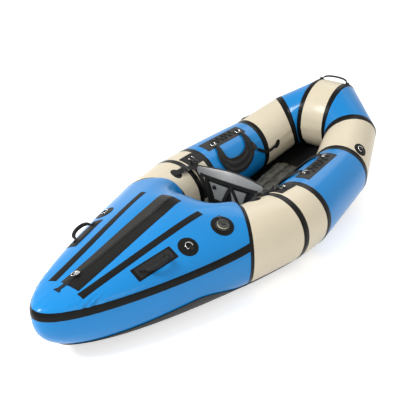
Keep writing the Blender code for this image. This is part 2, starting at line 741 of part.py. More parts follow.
def build_zip(deck, looks):
    flat = Matrix.Identity(4)
    outline = [(ZIP_FORE_X, ZIP_FORE_Y - ZIP_FORE_HALF), (ZIP_FORE_X, ZIP_FORE_Y + ZIP_FORE_HALF),
               (ZIP_AFT_X, ZIP_AFT_Y + ZIP_AFT_HALF), (ZIP_AFT_X, ZIP_AFT_Y - ZIP_AFT_HALF)]
    patch = deck.fit("zip_patch", prism(outline, flat, 0.0, HALF_LENGTH), SEAT_GAP, PATCH_TOP, looks["patch"])
    neck, end = ZIP_TAB_NECK_HALF, ZIP_TAB_END_HALF
    start, stop = ZIP_AFT_X + ZIP_TAB_OVERLAP, ZIP_AFT_X - ZIP_TAB_LENGTH
    tab = [(start, -end), (start, end), (start - end, neck), (stop + end, neck), (stop, end), (stop, -end),
           (stop + end, -neck), (start - end, -neck)]
    strap = deck.fit("tab", prism(tab, flat, 0.0, HALF_LENGTH), PATCH_TOP - PATCH_WALL / 2.0, ZIP_TAB_HEIGHT,
                     looks["patch"])
    combine(patch, strap, "UNION")

    frame = zip_frame(deck)
    length = [(x - SLIDER_REST_X) / frame.col[0].x for x in (CHAIN_AFT_X, CHAIN_FORE_X)]
    width = (-CHAIN_HALF_WIDTH, CHAIN_HALF_WIDTH)
    deck.fit("zip_chain", box(frame, length, width, (-CUT_DEPTH, 0.0)), PATCH_TOP + SEAT_GAP,
             COVER_HEIGHT, looks["zip"])

    long_half, wide_half = SLIDER_HALF_LENGTH, SLIDER_HALF_WIDTH
    slider = add_object("zip_slider", box(frame, (-long_half, long_half), (-wide_half, wide_half),
                                          (-SLIDER_FLANGE, SEAT_GAP + SLIDER_WALL)), looks["metal"])
    clear = CHAIN_HALF_WIDTH + SEAT_GAP
    join(slider, box(frame, (-2.0 * long_half, 2.0 * long_half), (-clear, clear), (-CUT_DEPTH, SEAT_GAP)),
         "DIFFERENCE")
    bridge = BRIDGE_HALF_WIDTH
    join(slider, box(frame, (-BRIDGE_HALF_LENGTH, BRIDGE_HALF_LENGTH), (-bridge, bridge),
                     (SLIDER_WALL / 2.0, BRIDGE_TOP)))
    axle = raised(frame, PULL_AXIS_HEIGHT) @ Matrix.Rotation(math.pi / 2.0, 4, "Z")
    ends = [axle @ Vector((x, 0.0, 0.0)) for x in (-wide_half, wide_half)]
    bore = PULL_WIRE_R + BAR_GAP
    join(slider, sweep("bore", ends, [axle.col[2].to_3d()] * 2, lambda k: oval(bore, bore)), "DIFFERENCE")
    hang_on(slider, frame)

    lying = axle @ Matrix.Rotation(math.radians(PULL_DROOP), 4, "X")
    half, shoulder = PULL_HALF_WIDTH, PULL_LENGTH - PULL_POINT
    flat = [(0.0, 0.0), (half, 0.0), (half, shoulder), (half / 2.0, PULL_LENGTH),
            (-half / 2.0, PULL_LENGTH), (-half, shoulder), (-half, 0.0)]
    spine = [lying @ Vector((x, y, 0.0)) for x, y in flat]
    pull = sweep("zip_pull", spine, [lying.col[2].to_3d()] * len(spine),
                 lambda k: oval(PULL_WIRE_R, PULL_WIRE_R, 6), closed=True)
    hang_on(add_object("zip_pull", pull, looks["metal"]), axle)


# Narrow strips on both sides of the zip
STRIP_FORE_X = -0.396
STRIP_FORE_Y = 0.154
STRIP_FORE_HALF = 0.0075
STRIP_AFT_SHARE = 0.83559
STRIP_AFT_X = COAMING_X - DECK_LENGTH * STRIP_AFT_SHARE
STRIP_AFT_Y = 0.067
STRIP_AFT_HALF = 0.0090


def build_strips(deck, looks):
    outline = [(STRIP_FORE_X, -STRIP_FORE_Y - STRIP_FORE_HALF),
               (STRIP_FORE_X, -STRIP_FORE_Y + STRIP_FORE_HALF),
               (STRIP_AFT_X, -STRIP_AFT_Y + STRIP_AFT_HALF),
               (STRIP_AFT_X, -STRIP_AFT_Y - STRIP_AFT_HALF)]
    shape = prism(outline, Matrix.Identity(4), 0.0, HALF_LENGTH)
    twin(deck.fit("deck_strip", shape, SEAT_GAP, PATCH_TOP, looks["patch"]), "deck_strip")


# D-rings on round patches at the sides of the stern deck
STERN_RING_SHARE = 0.36733
STERN_RING_X = COAMING_X - DECK_LENGTH * STERN_RING_SHARE
STERN_RING_Y = 0.230
STERN_RING_PATCH_R = 0.035
STERN_BAR_OFFSET = 0.008


def build_stern_rings(deck, looks):
    frame = deck.drop(STERN_RING_X, -STERN_RING_Y)
    patch = deck.patch("stern_ring_patch", circle(STERN_RING_PATCH_R), frame, looks["patch"])
    bar = frame @ Matrix.Translation((0.0, -STERN_BAR_OFFSET, 0.0))
    add_keeper(deck, patch, bar, BAR_HEIGHT, RING_WIRE_R, KEEPER_HALF_LENGTH, KEEPER_TAIL)
    twin(patch, "stern_ring_patch")
    axis = raised(bar, BAR_HEIGHT)
    mesh = ring_mesh(axis, RING_WIRE_R, RING_HALF_WIDTH, RING_DEPTH)
    starboard, port = add_pair("stern_d_ring", mesh, looks["metal"])
    hang_on(starboard, axis)
    hang_on(port, mirrored_frame(axis))


# Webbing grab loops: each turns in two keepers like a bail
LOOP_PIN_R = 0.003
LOOP_BAR_HEIGHT = PATCH_TOP + KEEPER_WALL / 2.0 + LOOP_PIN_R + BAR_GAP
LOOP_KEEPER_HALF = 0.007
LOOP_KEEPER_SIDE = 0.009
LOOP_CLEAR = 0.003
LOOP_HALF_WIDTH = 0.010
LOOP_HALF_WALL = 0.0015
LOOP_STEPS = 8
LOOP_ROUND_POWER = 0.7


def loop_mesh(frame, half_span, height, lean):
    """Webbing loop on a frame's x axis between two keepers, leaning to the frame's right hand."""
    tilt = math.radians(lean)
    rise = (frame.col[2] * math.cos(tilt) - frame.col[1] * math.sin(tilt)).to_3d()
    along, centre = frame.col[0].to_3d(), frame.translation
    inner = half_span - LOOP_KEEPER_HALF - LOOP_CLEAR
    steps = [math.pi * k / LOOP_STEPS for k in range(LOOP_STEPS + 1)]
    places = [(-inner * math.cos(v), height * math.sin(v) ** LOOP_ROUND_POWER) for v in steps]
    tip = half_span + LOOP_KEEPER_HALF / 2.0
    places = [(-tip, 0.0)] + places + [(tip, 0.0)]
    spine = [centre + along * x + rise * z for x, z in places]

    def section(k):
        share = min(1.0, places[k][1] / height)
        half_width = LOOP_PIN_R + (LOOP_HALF_WIDTH - LOOP_PIN_R) * share
        half_wall = LOOP_PIN_R + (LOOP_HALF_WALL - LOOP_PIN_R) * min(1.0, 2.0 * share)
        return oval(half_width, half_wall)

    return sweep("loop", spine, [rise] * len(spine), section)


def loop_keepers(cover, patch, frame, half_span, sides):
    """Blocks on a patch that hold the two ends of a loop."""
    for side in sides:
        place = frame @ Matrix.Translation((side * half_span, 0.0, 0.0))
        outline = rectangle(LOOP_KEEPER_HALF, LOOP_KEEPER_SIDE)
        cover.add_block(patch, outline, place, LOOP_BAR_HEIGHT + LOOP_PIN_R + BAR_GAP + KEEPER_WALL)
    ends = [frame @ Vector((side * (half_span + 2.0 * LOOP_KEEPER_HALF), 0.0, LOOP_BAR_HEIGHT))
            for side in (-1.0, 1.0)]
    bore = LOOP_PIN_R + BAR_GAP
    return join(patch, sweep("bore", ends, [frame.col[2].to_3d()] * 2, lambda k: oval(bore, bore)),
                "DIFFERENCE")


# Grab handles at the sides of the stern deck
HANDLE_SHARE = 0.53382
HANDLE_X = COAMING_X - DECK_LENGTH * HANDLE_SHARE
HANDLE_Y = 0.190
HANDLE_TURN = 10.5
HANDLE_PATCH_HALF_LENGTH = 0.095
HANDLE_PATCH_HALF_WIDTH = 0.026
HANDLE_HALF_SPAN = 0.062
HANDLE_RISE = 0.034
HANDLE_LEAN = 50.0


def build_handles(deck, looks):
    frame = turned(deck.drop(HANDLE_X, -HANDLE_Y), -HANDLE_TURN)
    patch = deck.patch("handle_patch", rectangle(HANDLE_PATCH_HALF_LENGTH, HANDLE_PATCH_HALF_WIDTH), frame,
                       looks["patch"])
    loop_keepers(deck, patch, frame, HANDLE_HALF_SPAN, (-1.0, 1.0))
    twin(patch, "handle_patch")
    axis = raised(frame, LOOP_BAR_HEIGHT)
    mesh = loop_mesh(axis, HANDLE_HALF_SPAN, HANDLE_RISE, HANDLE_LEAN)
    starboard, port = add_pair("grab_handle", mesh, looks["webbing"])
    hang_on(starboard, axis)
    hang_on(port, mirrored_frame(axis))


# Bow grab loop, between the two bow seams
BOW_LOOP_TURN_SHARE = 0.20833
BOW_LOOP_RISE = 0.034
BOW_LOOP_LEAN = 30.0
BOW_COVER_COLUMNS = (2, 8)


def build_bow_loop(rings, tapes, looks):
    stations = [tape_edge(rings[5], rings[4]), rings[5], tape_edge(rings[5], rings[5].mirrored())]
    cover = Cover(stations, *BOW_COVER_COLUMNS)
    point, normal = rings[5].at(BOW_LOOP_TURN_SHARE * COLUMNS)
    middle = Vector((point.x, 0.0, point.z))
    frame = axes_frame(middle, Vector((0.0, 1.0, 0.0)), normal)
    loop_keepers(cover, tapes[0], frame, -point.y, (-1.0,))
    tapes[1].data = flipped(tapes[0].data, tapes[1].name)
    axis = raised(frame, LOOP_BAR_HEIGHT)
    mesh = loop_mesh(axis, -point.y, BOW_LOOP_RISE, BOW_LOOP_LEAN)
    hang_on(add_object("bow_grab_loop", mesh, looks["webbing"]), axis)


# Inflation valve on the starboard side of the deck
VALVE_X = -0.376
VALVE_Y = -0.260
VALVE_PATCH_R = 0.050
VALVE_NECK_R = 0.014
VALVE_BORE_R = 0.010
VALVE_NECK_DEPTH = 0.018
VALVE_FLANGE_R = 0.031
VALVE_FLANGE_HEIGHT = 0.0045
VALVE_COLLAR_R = 0.020
VALVE_COLLAR_HEIGHT = 0.012
CAP_R = 0.0245
CAP_GAP = 0.0006
CAP_WALL = 0.003
CAP_RIB_DEPTH = 0.0012
CAP_RIBS = 18
CAP_GRIP_HALF_LENGTH = 0.016
CAP_GRIP_HALF_WIDTH = 0.003
CAP_GRIP_HEIGHT = 0.004
TETHER_REACH = 0.012
TETHER_HALF_WIDTH = 0.009
TETHER_HEIGHT = 0.006
TETHER_TURN = 62.0


def build_valve(deck, deck_panel, looks):
    frame = deck.drop(VALVE_X, VALVE_Y)
    hole = VALVE_NECK_R + SEAT_GAP
    join(deck_panel, prism(circle(hole), frame, -CUT_DEPTH, CUT_DEPTH), "DIFFERENCE")
    patch = deck.patch("valve_patch", circle(VALVE_PATCH_R), frame, looks["patch"])
    tether = turned(frame, TETHER_TURN)
    start, stop = VALVE_FLANGE_R + SEAT_GAP, VALVE_PATCH_R
    outline = [(start, -TETHER_HALF_WIDTH), (stop, 0.0), (start, TETHER_HALF_WIDTH)]
    deck.add_block(patch, outline, tether, TETHER_HEIGHT)
    join(patch, prism(circle(hole), frame, -CUT_DEPTH, CUT_DEPTH), "DIFFERENCE")

    body = deck.fit("valve_body", prism(circle(VALVE_FLANGE_R), frame, -CUT_DEPTH, VALVE_FLANGE_HEIGHT),
                    PATCH_TOP + SEAT_GAP, COVER_HEIGHT, looks["valve"])
    seat = VALVE_FLANGE_HEIGHT / 2.0
    join(body, prism(circle(VALVE_NECK_R), frame, -VALVE_NECK_DEPTH, seat + VALVE_FLANGE_HEIGHT / 4.0))
    join(body, prism(circle(VALVE_COLLAR_R), frame, seat, VALVE_COLLAR_HEIGHT))
    join(body, prism(circle(VALVE_BORE_R), frame, -CUT_DEPTH, CUT_DEPTH), "DIFFERENCE")

    rim = []
    for k in range(2 * CAP_RIBS):
        v = math.pi * k / CAP_RIBS
        radius = CAP_R - (CAP_RIB_DEPTH if k % 2 else 0.0)
        rim.append((radius * math.cos(v), radius * math.sin(v)))
    low = VALVE_FLANGE_HEIGHT + SEAT_GAP
    high = VALVE_COLLAR_HEIGHT + SEAT_GAP + CAP_WALL
    cap = add_object("valve_cap", prism(rim, frame, low, high), looks["plastic"])
    inner = (VALVE_COLLAR_R + CAP_GAP) / math.cos(math.pi / DISC_SIDES)
    join(cap, prism(circle(inner), frame, -CUT_DEPTH, VALVE_COLLAR_HEIGHT + SEAT_GAP), "DIFFERENCE")
    join(cap, prism(rectangle(CAP_GRIP_HALF_LENGTH, CAP_GRIP_HALF_WIDTH), frame, high - CAP_WALL / 2.0,
                    high + CAP_GRIP_HEIGHT))
    hang_on(cap, axes_frame(frame.translation, frame.col[2].to_3d(), frame.col[0].to_3d()))


# Hip patches beside the backband, each with a D-ring and a strap down to the band
HIP_SHARE = 0.53
HIP_TURN_SHARE = 0.2875
HIP_HALF_LENGTH = 0.042
HIP_HALF_WIDTH = 0.031
HIP_BAR_OFFSET = 0.004
STRAP_HALF_WIDTH = 0.011
STRAP_HALF_WALL = 0.0012
STRAP_HOVER = 0.004
HIP_STRAP_DROP = 0.062
HIP_STRAP_AFT = 0.020


def strap(spine, ups, half_widths, half_wall):
    """Flat webbing along a spine."""
    corners = ((-1, -1), (1, -1), (1, 1), (-1, 1))
    return sweep("strap", spine, ups, lambda k: [(x * half_widths[k], y * half_wall) for x, y in corners])


def build_hips(hip, looks):
    frame = hip.spot(HIP_SHARE, HIP_TURN_SHARE)
    patch = hip.patch("hip_patch", rectangle(HIP_HALF_LENGTH, HIP_HALF_WIDTH), frame, looks["patch"])
    bar = frame @ Matrix.Translation((0.0, -HIP_BAR_OFFSET, 0.0))
    fixed_ring(hip, patch, bar)
    high = BAR_HEIGHT + STRAP_HOVER / 2.0
    spots = [(0.0, 0.0, PATCH_TOP), (-HIP_STRAP_AFT / 4.0, HIP_STRAP_DROP / 3.0, high),
             (-HIP_STRAP_AFT / 2.0, 2.0 * HIP_STRAP_DROP / 3.0, 0.0), (-HIP_STRAP_AFT, HIP_STRAP_DROP, -high)]
    spine = [bar @ Vector(spot) for spot in spots]
    join(patch, strap(spine, [bar.col[2].to_3d()] * 4, [KEEPER_HALF_LENGTH] * 4, STRAP_HALF_WALL))
    twin(patch, "hip_patch")


# Round outboard patches with a D-ring on the quarters
QUARTER_SHARE = 0.21
QUARTER_TURN_SHARE = 0.1417
QUARTER_PATCH_R = 0.028


def build_quarter_rings(quarter, looks):
    frame = quarter.spot(QUARTER_SHARE, QUARTER_TURN_SHARE)
    patch = quarter.patch("quarter_ring_patch", circle(QUARTER_PATCH_R), frame, looks["patch"])
    fixed_ring(quarter, patch, frame @ Matrix.Translation((0.0, -HIP_BAR_OFFSET, 0.0)))
    twin(patch, "quarter_ring_patch")


# Backband: a padded band across the cockpit, with a lower panel under it
BACK_X = 0.033
BACK_HALF_SPAN = 0.190
BACK_BOW = 0.018
BACK_AXIS_Z = 0.309
BACK_END_HALF_HEIGHT = 0.013
BACK_MIDDLE_TOP = 0.338
BACK_MIDDLE_HEIGHT = 0.076
BACK_HALF_WALL = 0.006
BACK_STEPS = 12
PANEL_TOP_HALF = 0.1267
PANEL_LOW_HALF = 0.104
PANEL_LOW_Z = 0.112
BACK_PANEL_HALF_WALL = 0.002
BACK_STRAP_GAP = 0.0013
BACK_PANEL_GAP = 0.0012
BACK_HEIGHT_POWER = 1.2
BACK_STRAP_TURN_SHARE = 0.45
ANCHOR_SHARE = 0.535
ANCHOR_TURN_SHARE = 0.2917
ANCHOR_PATCH_R = 0.030
BUCKLE_HALF_LENGTH = 0.013
BUCKLE_HALF_WIDTH = 0.015
BUCKLE_HALF_WALL = 0.004


def back_heights(y):
    """Top and bottom of the backband at a distance from the middle."""
    share = max(0.0, 1.0 - (y / BACK_HALF_SPAN) ** 2) ** BACK_HEIGHT_POWER
    end_top, end_low = BACK_AXIS_Z + BACK_END_HALF_HEIGHT, BACK_AXIS_Z - BACK_END_HALF_HEIGHT
    top = end_top + (BACK_MIDDLE_TOP - end_top) * share
    low = end_low + (BACK_MIDDLE_TOP - BACK_MIDDLE_HEIGHT - end_low) * share
    return top, low


def back_x(y):
    return BACK_X + BACK_BOW * (1.0 - (y / BACK_HALF_SPAN) ** 2) ** 2


def build_back(aft, looks):
    pivot = axes_frame(Vector((BACK_X, 0.0, BACK_AXIS_Z)), Vector((0.0, 1.0, 0.0)), UP)
    ys = [BACK_HALF_SPAN * (2.0 * k / BACK_STEPS - 1.0) for k in range(BACK_STEPS + 1)]
    heights = [back_heights(y) for y in ys]
    spine = [Vector((back_x(y), y, (top + low) / 2.0)) for y, (top, low) in zip(ys, heights)]
    band = sweep("backband", spine, [UP] * len(ys),
                 lambda k: oval(BACK_HALF_WALL, (heights[k][0] - heights[k][1]) / 2.0))
    hang_on(add_object("backband", band, looks["silver"]), pivot)

    inner = [y for y in ys if abs(y) < PANEL_TOP_HALF - BACK_PANEL_GAP]
    rim = [(y, back_heights(y)[1] - BACK_PANEL_GAP) for y in [-PANEL_TOP_HALF] + inner + [PANEL_TOP_HALF]]
    outline = [(-PANEL_LOW_HALF, PANEL_LOW_Z), (PANEL_LOW_HALF, PANEL_LOW_Z)] + list(reversed(rim))
    upright = Matrix(((0.0, 0.0, 1.0, back_x(PANEL_TOP_HALF / 2.0)), (1.0, 0.0, 0.0, 0.0),
                      (0.0, 1.0, 0.0, 0.0), (0.0, 0.0, 0.0, 1.0)))
    lower = prism(outline, upright, -BACK_PANEL_HALF_WALL, BACK_PANEL_HALF_WALL)
    hang_on(add_object("back_panel", lower, looks["silver"]), pivot)

    frame = aft.spot(ANCHOR_SHARE, ANCHOR_TURN_SHARE)
    patch = aft.patch("back_strap", circle(ANCHOR_PATCH_R), frame, looks["webbing"])
    aft.add_block(patch, rectangle(STRAP_HALF_WIDTH, STRAP_HALF_WIDTH), frame, PATCH_TOP + STRAP_HOVER)
    end = Vector((BACK_X, -BACK_HALF_SPAN - BACK_STRAP_GAP, BACK_AXIS_Z))
    over = frame @ Vector((0.0, 0.0, PATCH_TOP + STRAP_HOVER / 2.0))
    turn = end + Vector((0.0, -2.0 * STRAP_HALF_WIDTH, STRAP_HOVER))
    middle = over.lerp(turn, BACK_STRAP_TURN_SHARE) + frame.col[2].to_3d() * (2.0 * STRAP_HOVER)
    spine = [over, middle, turn, end]
    normal = frame.col[2].to_3d()
    join(patch, strap(spine, [normal, normal, normal, UP], [STRAP_HALF_WIDTH] * 4, STRAP_HALF_WALL))
    buckle = axes_frame(middle, turn - over, normal)
    size = ((-BUCKLE_HALF_LENGTH, BUCKLE_HALF_LENGTH), (-BUCKLE_HALF_WIDTH, BUCKLE_HALF_WIDTH),
            (-BUCKLE_HALF_WALL, BUCKLE_HALF_WALL))
    join(patch, box(buckle, *size))
    twin(patch, "back_strap")


# Seat: an inflated cushion that follows the floor, with channels along the boat
SEAT_AFT_X = 0.100
SEAT_FORE_X = 0.690
SEAT_HALF_WIDTH = 0.146
SEAT_AFT_HEIGHT = 0.088
SEAT_FORE_HEIGHT = 0.072
SEAT_CHANNELS = 5
SEAT_CHANNEL_COLUMNS = 4
SEAT_GROOVE = 0.010
SEAT_ROWS = 12
SEAT_CORNER_SHARE = 0.28
SEAT_END_SHARE = 0.42
SEAT_EDGE_SHARE = 0.36
SEAT_HEM = 0.006
SEAT_END_POWER = 8
SEAT_SIDE_POWER = 6
SEAT_CROWN_POWER = 0.7


def build_seat(floor_tree, looks):
    columns = SEAT_CHANNELS * SEAT_CHANNEL_COLUMNS
    upper, lower = [], []
    for r in range(SEAT_ROWS + 1):
        u = 2.0 * r / SEAT_ROWS - 1.0
        along = math.sin(math.pi / 2.0 * u)
        x = SEAT_AFT_X + (SEAT_FORE_X - SEAT_AFT_X) * (along + 1.0) / 2.0
        ends = math.sqrt(1.0 - abs(along) ** SEAT_END_POWER)
        corner = 1.0 - math.sqrt(1.0 - abs(along) ** SEAT_SIDE_POWER)
        half = SEAT_HALF_WIDTH * (1.0 - SEAT_CORNER_SHARE * corner)
        crown = SEAT_AFT_HEIGHT + (SEAT_FORE_HEIGHT - SEAT_AFT_HEIGHT) * (along + 1.0) / 2.0
        for c in range(columns + 1):
            v = 2.0 * c / columns - 1.0
            y = half * v
            side = math.sqrt(1.0 - abs(v) ** SEAT_SIDE_POWER)
            ripple = abs(math.sin(math.pi * c / SEAT_CHANNEL_COLUMNS)) ** SEAT_CROWN_POWER
            height = crown * (SEAT_END_SHARE + (1.0 - SEAT_END_SHARE) * ends * side)
            height -= SEAT_GROOVE * (1.0 - ripple) * ends * side
            ground = floor_tree.ray_cast(Vector((x, y, HALF_LENGTH)), -UP)[0].z + FACET_GAP
            middle = ground + crown * SEAT_EDGE_SHARE
            low = ground + (middle - ground) * (1.0 - ends * side)
            upper.append(Vector((x, y, max(ground + height, middle + SEAT_HEM))))
            lower.append(Vector((x, y, low)))
    width = columns + 1
    quads = []
    for r in range(SEAT_ROWS):
        for c in range(columns):
            a = r * width + c
            quads.append([a, a + 1, a + width + 1, a + width])
    add_object("seat", sheet("seat", upper, lower, quads), looks["seat"])


# Lacing on the side tubes: a patch with a zig-zag cord between two strap rings
LACE_FIRST_SHARE = 0.155
LACE_LAST_SHARE = 0.825
LACE_MIDDLE_TURN_SHARE = 0.2696
LACE_HALF_WIDTH = 0.037
LACE_RINGS_SHARES = (0.27, 0.735)
LACE_RING_TURN_SHARE = 0.29167
LACE_RING_HALF = 0.015
LACE_RING_DEPTH = 0.018
LACE_KEEPER_HALF = 0.010
LACE_BAR_HEIGHT = 0.0075
CORD_R = 0.0018
CORD_SHARES = (0.355, 0.655)
CORD_TURN_SHARES = (0.2521, 0.2854)
CORD_RUNS = 8
CORD_RUN_STEPS = 3

# Thigh straps hang inside the tubes from the two strap rings
THIGH_ROUTE_SHARES = ((0.27, 0.3104, 0.3), (0.235, 0.3417, 0.4), (0.20, 0.3875, 0.7), (0.28, 0.4417, 1.0),
                      (0.44, 0.4583, 1.0), (0.58, 0.45, 1.0), (0.68, 0.4208, 0.8), (0.725, 0.3667, 0.5),
                      (0.735, 0.3167, 0.35))
THIGH_HALF_WIDTH = 0.034
THIGH_HALF_WALL = 0.002
THIGH_STAND = 0.0082
FRONT_PATCH_SHARE = 0.26
FRONT_PATCH_TURN_SHARE = 0.5125
FRONT_PATCH_HALF_LENGTH = 0.020
FRONT_PATCH_HALF_WIDTH = 0.013
FRONT_END_SHARE = 0.815
FRONT_END_TURN_SHARE = 0.4333
FRONT_HALF_WIDTH = 0.0085
FRONT_RING_TURN_SHARE = 0.4792


def lace_ring(side, patch, share, along):
    """Rectangular ring that stands inboard of its keeper; its frame lies on the strap bar."""
    spot = side.spot(share, LACE_RING_TURN_SHARE)
    frame = axes_frame(spot.translation, along, spot.col[2].to_3d())
    depth, half = LACE_RING_DEPTH, LACE_RING_HALF
    reach = CORD_R + KEEPER_WALL
    keeper = [(-LACE_KEEPER_HALF, -depth - reach), (LACE_KEEPER_HALF, -depth - reach),
              (LACE_KEEPER_HALF, -depth + reach), (-LACE_KEEPER_HALF, -depth + reach)]
    side.add_block(patch, keeper, frame, LACE_BAR_HEIGHT + reach)
    flat = [(-half, 0.0), (half, 0.0), (half, -depth), (-half, -depth)]
    spine = [frame @ Vector((x, y, LACE_BAR_HEIGHT)) for x, y in flat]
    wire = oval(CORD_R, CORD_R, 6)
    join(patch, sweep("ring", spine, [frame.col[2].to_3d()] * 4, lambda k: wire, closed=True))
    return raised(frame, LACE_BAR_HEIGHT).translation


def build_lacing(side, looks):
    first = side.spot(LACE_FIRST_SHARE, LACE_MIDDLE_TURN_SHARE)
    last = side.spot(LACE_LAST_SHARE, LACE_MIDDLE_TURN_SHARE)
    along = last.translation - first.translation
    normal = first.col[2].to_3d() + last.col[2].to_3d()
    frame = axes_frame(first.translation.lerp(last.translation, 0.5), along, normal)
    patch = side.patch("lacing_patch", rectangle(along.length / 2.0, LACE_HALF_WIDTH), frame, looks["patch"])
    ends = [side.spot(share, LACE_RING_TURN_SHARE).translation for share in LACE_RINGS_SHARES]
    bars = [lace_ring(side, patch, share, ends[1] - ends[0]) for share in LACE_RINGS_SHARES]
    twin(patch, "lacing_patch")

    spine, ups = [], []
    stand = PATCH_TOP + CORD_R / math.cos(math.pi / 6.0) + FACET_GAP
    for run in range(CORD_RUNS):
        for step in range(CORD_RUN_STEPS + (run == CORD_RUNS - 1)):
            part = step / CORD_RUN_STEPS
            share = CORD_SHARES[0] + (CORD_SHARES[1] - CORD_SHARES[0]) * (run + part) / CORD_RUNS
            a, b = CORD_TURN_SHARES if run % 2 == 0 else reversed(CORD_TURN_SHARES)
            spot = side.spot(share, a + (b - a) * part)
            spine.append(raised(spot, stand).translation)
            ups.append(spot.col[2].to_3d())
    cord = sweep("lacing_cord", spine, ups, lambda k: oval(CORD_R, CORD_R, 6))
    add_pair("lacing_cord", cord, looks["webbing"])
    return bars


def build_thigh_straps(side, ring, quarter, bars, looks):
    hinge = bars[1] - bars[0]
    axis = axes_frame(bars[0].lerp(bars[1], 0.5), hinge, hinge.cross(UP).cross(hinge))
    spots = [side.spot(share, turn_share) for share, turn_share, _ in THIGH_ROUTE_SHARES]
    route = [raised(spot, THIGH_STAND).translation for spot in spots]
    reach = CORD_R / math.cos(math.pi / 6.0) + BAR_GAP + THIGH_HALF_WALL
    for bar, at, near in ((bars[0], 0, 0), (bars[1], len(route), -1)):
        route.insert(at, bar + (route[near] - bar).normalized() * reach)
        spots.insert(at, spots[near])
    widths = [LACE_KEEPER_HALF / THIGH_HALF_WIDTH] + [w for _, _, w in THIGH_ROUTE_SHARES]
    widths.append(LACE_KEEPER_HALF / THIGH_HALF_WIDTH)
    ups = [spot.col[2].to_3d() for spot in spots]
    mesh = strap(route, ups, [THIGH_HALF_WIDTH * w for w in widths], THIGH_HALF_WALL)
    starboard, port = add_pair("thigh_strap", mesh, looks["webbing"])
    hang_on(starboard, axis)
    hang_on(port, mirrored_frame(axis))

    frame = quarter.spot(FRONT_PATCH_SHARE, FRONT_PATCH_TURN_SHARE)
    patch = quarter.patch("front_strap", [(FRONT_PATCH_HALF_LENGTH * x, FRONT_PATCH_HALF_WIDTH * y)
                                          for x, y in circle(1.0)], frame, looks["webbing"])
    end = raised(side.spot(FRONT_END_SHARE, FRONT_END_TURN_SHARE), THIGH_STAND)
    pad = rectangle(FRONT_HALF_WIDTH, FRONT_HALF_WIDTH)
    quarter.add_block(patch, pad, frame, PATCH_TOP + STRAP_HOVER)
    start = raised(frame, PATCH_TOP + STRAP_HOVER / 2.0).translation
    point, normal = ring.at(FRONT_RING_TURN_SHARE * COLUMNS)
    over = point + normal * (TAPE_STAND + 2.0 * STRAP_HOVER)
    ups = [frame.col[2].to_3d(), normal, end.col[2].to_3d()]
    join(patch, strap([start, over, end.translation], ups, [FRONT_HALF_WIDTH] * 3, STRAP_HALF_WALL))
    twin(patch, "front_strap")


def build_looks():
    return {
        "blue": material("blue_fabric", (0.010, 0.230, 0.640), 0.32),
        "beige": material("beige_fabric", (0.640, 0.560, 0.400), 0.45),
        "tape": material("seam_tape", (0.014, 0.014, 0.013), 0.45),
        "floor": material("floor_fabric", (0.012, 0.012, 0.012), 0.55),
        "seat": material("seat_fabric", (0.062, 0.058, 0.048), 0.60),
        "silver": material("silver_fabric", (0.300, 0.305, 0.305), 0.40),
        "webbing": material("black_webbing", (0.010, 0.010, 0.010), 0.65),
        "zip": material("zip_chain", (0.030, 0.029, 0.027), 0.40),
        "metal": material("bright_metal", (0.620, 0.620, 0.600), 0.28, 1.0),
        "plastic": material("black_plastic", (0.016, 0.016, 0.016), 0.38),
        "valve": material("valve_plastic", (0.560, 0.560, 0.430), 0.35),
        "patch": material("patch_rubber", (0.016, 0.016, 0.015), 0.50),
    }


def main():
    clear_scene()
    looks = build_looks()
    rings = seam_rings()
    fan = stern_fan(rings)
    deck_panel = build_panels(rings, fan, looks)
    bow_tapes = build_tapes(rings, fan, looks)
    floor = build_floor(rings, fan, looks)

    deck = Cover(fan, DECK_EDGE_COLUMNS, HALF - DECK_EDGE_COLUMNS, len(fan) // 2)
    aft, hip, side, quarter = [Cover(between(a, b), *TUBE_COVER_COLUMNS)
                               for a, b in zip(rings[:4], rings[1:5])]
    build_zip(deck, looks)
    build_strips(deck, looks)
    build_stern_rings(deck, looks)
    build_handles(deck, looks)
    build_valve(deck, deck_panel, looks)
    build_hips(hip, looks)
    build_back(aft, looks)
    floor_tree = BVHTree.FromPolygons([v.co.copy() for v in floor.data.vertices],
                                      [tuple(p.vertices) for p in floor.data.polygons])
    build_seat(floor_tree, looks)
    bars = build_lacing(side, looks)
    build_thigh_straps(side, rings[3], quarter, bars, looks)
    build_quarter_rings(quarter, looks)
    build_bow_loop(rings, bow_tapes, looks)


main()
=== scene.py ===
"""Looks of an open packraft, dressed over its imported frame. Metres, +X to the bow, +Y to port, +Z up."""
import json
import math

import bmesh
import bpy
import numpy as np
from mathutils import Matrix, Vector
from mathutils.bvhtree import BVHTree

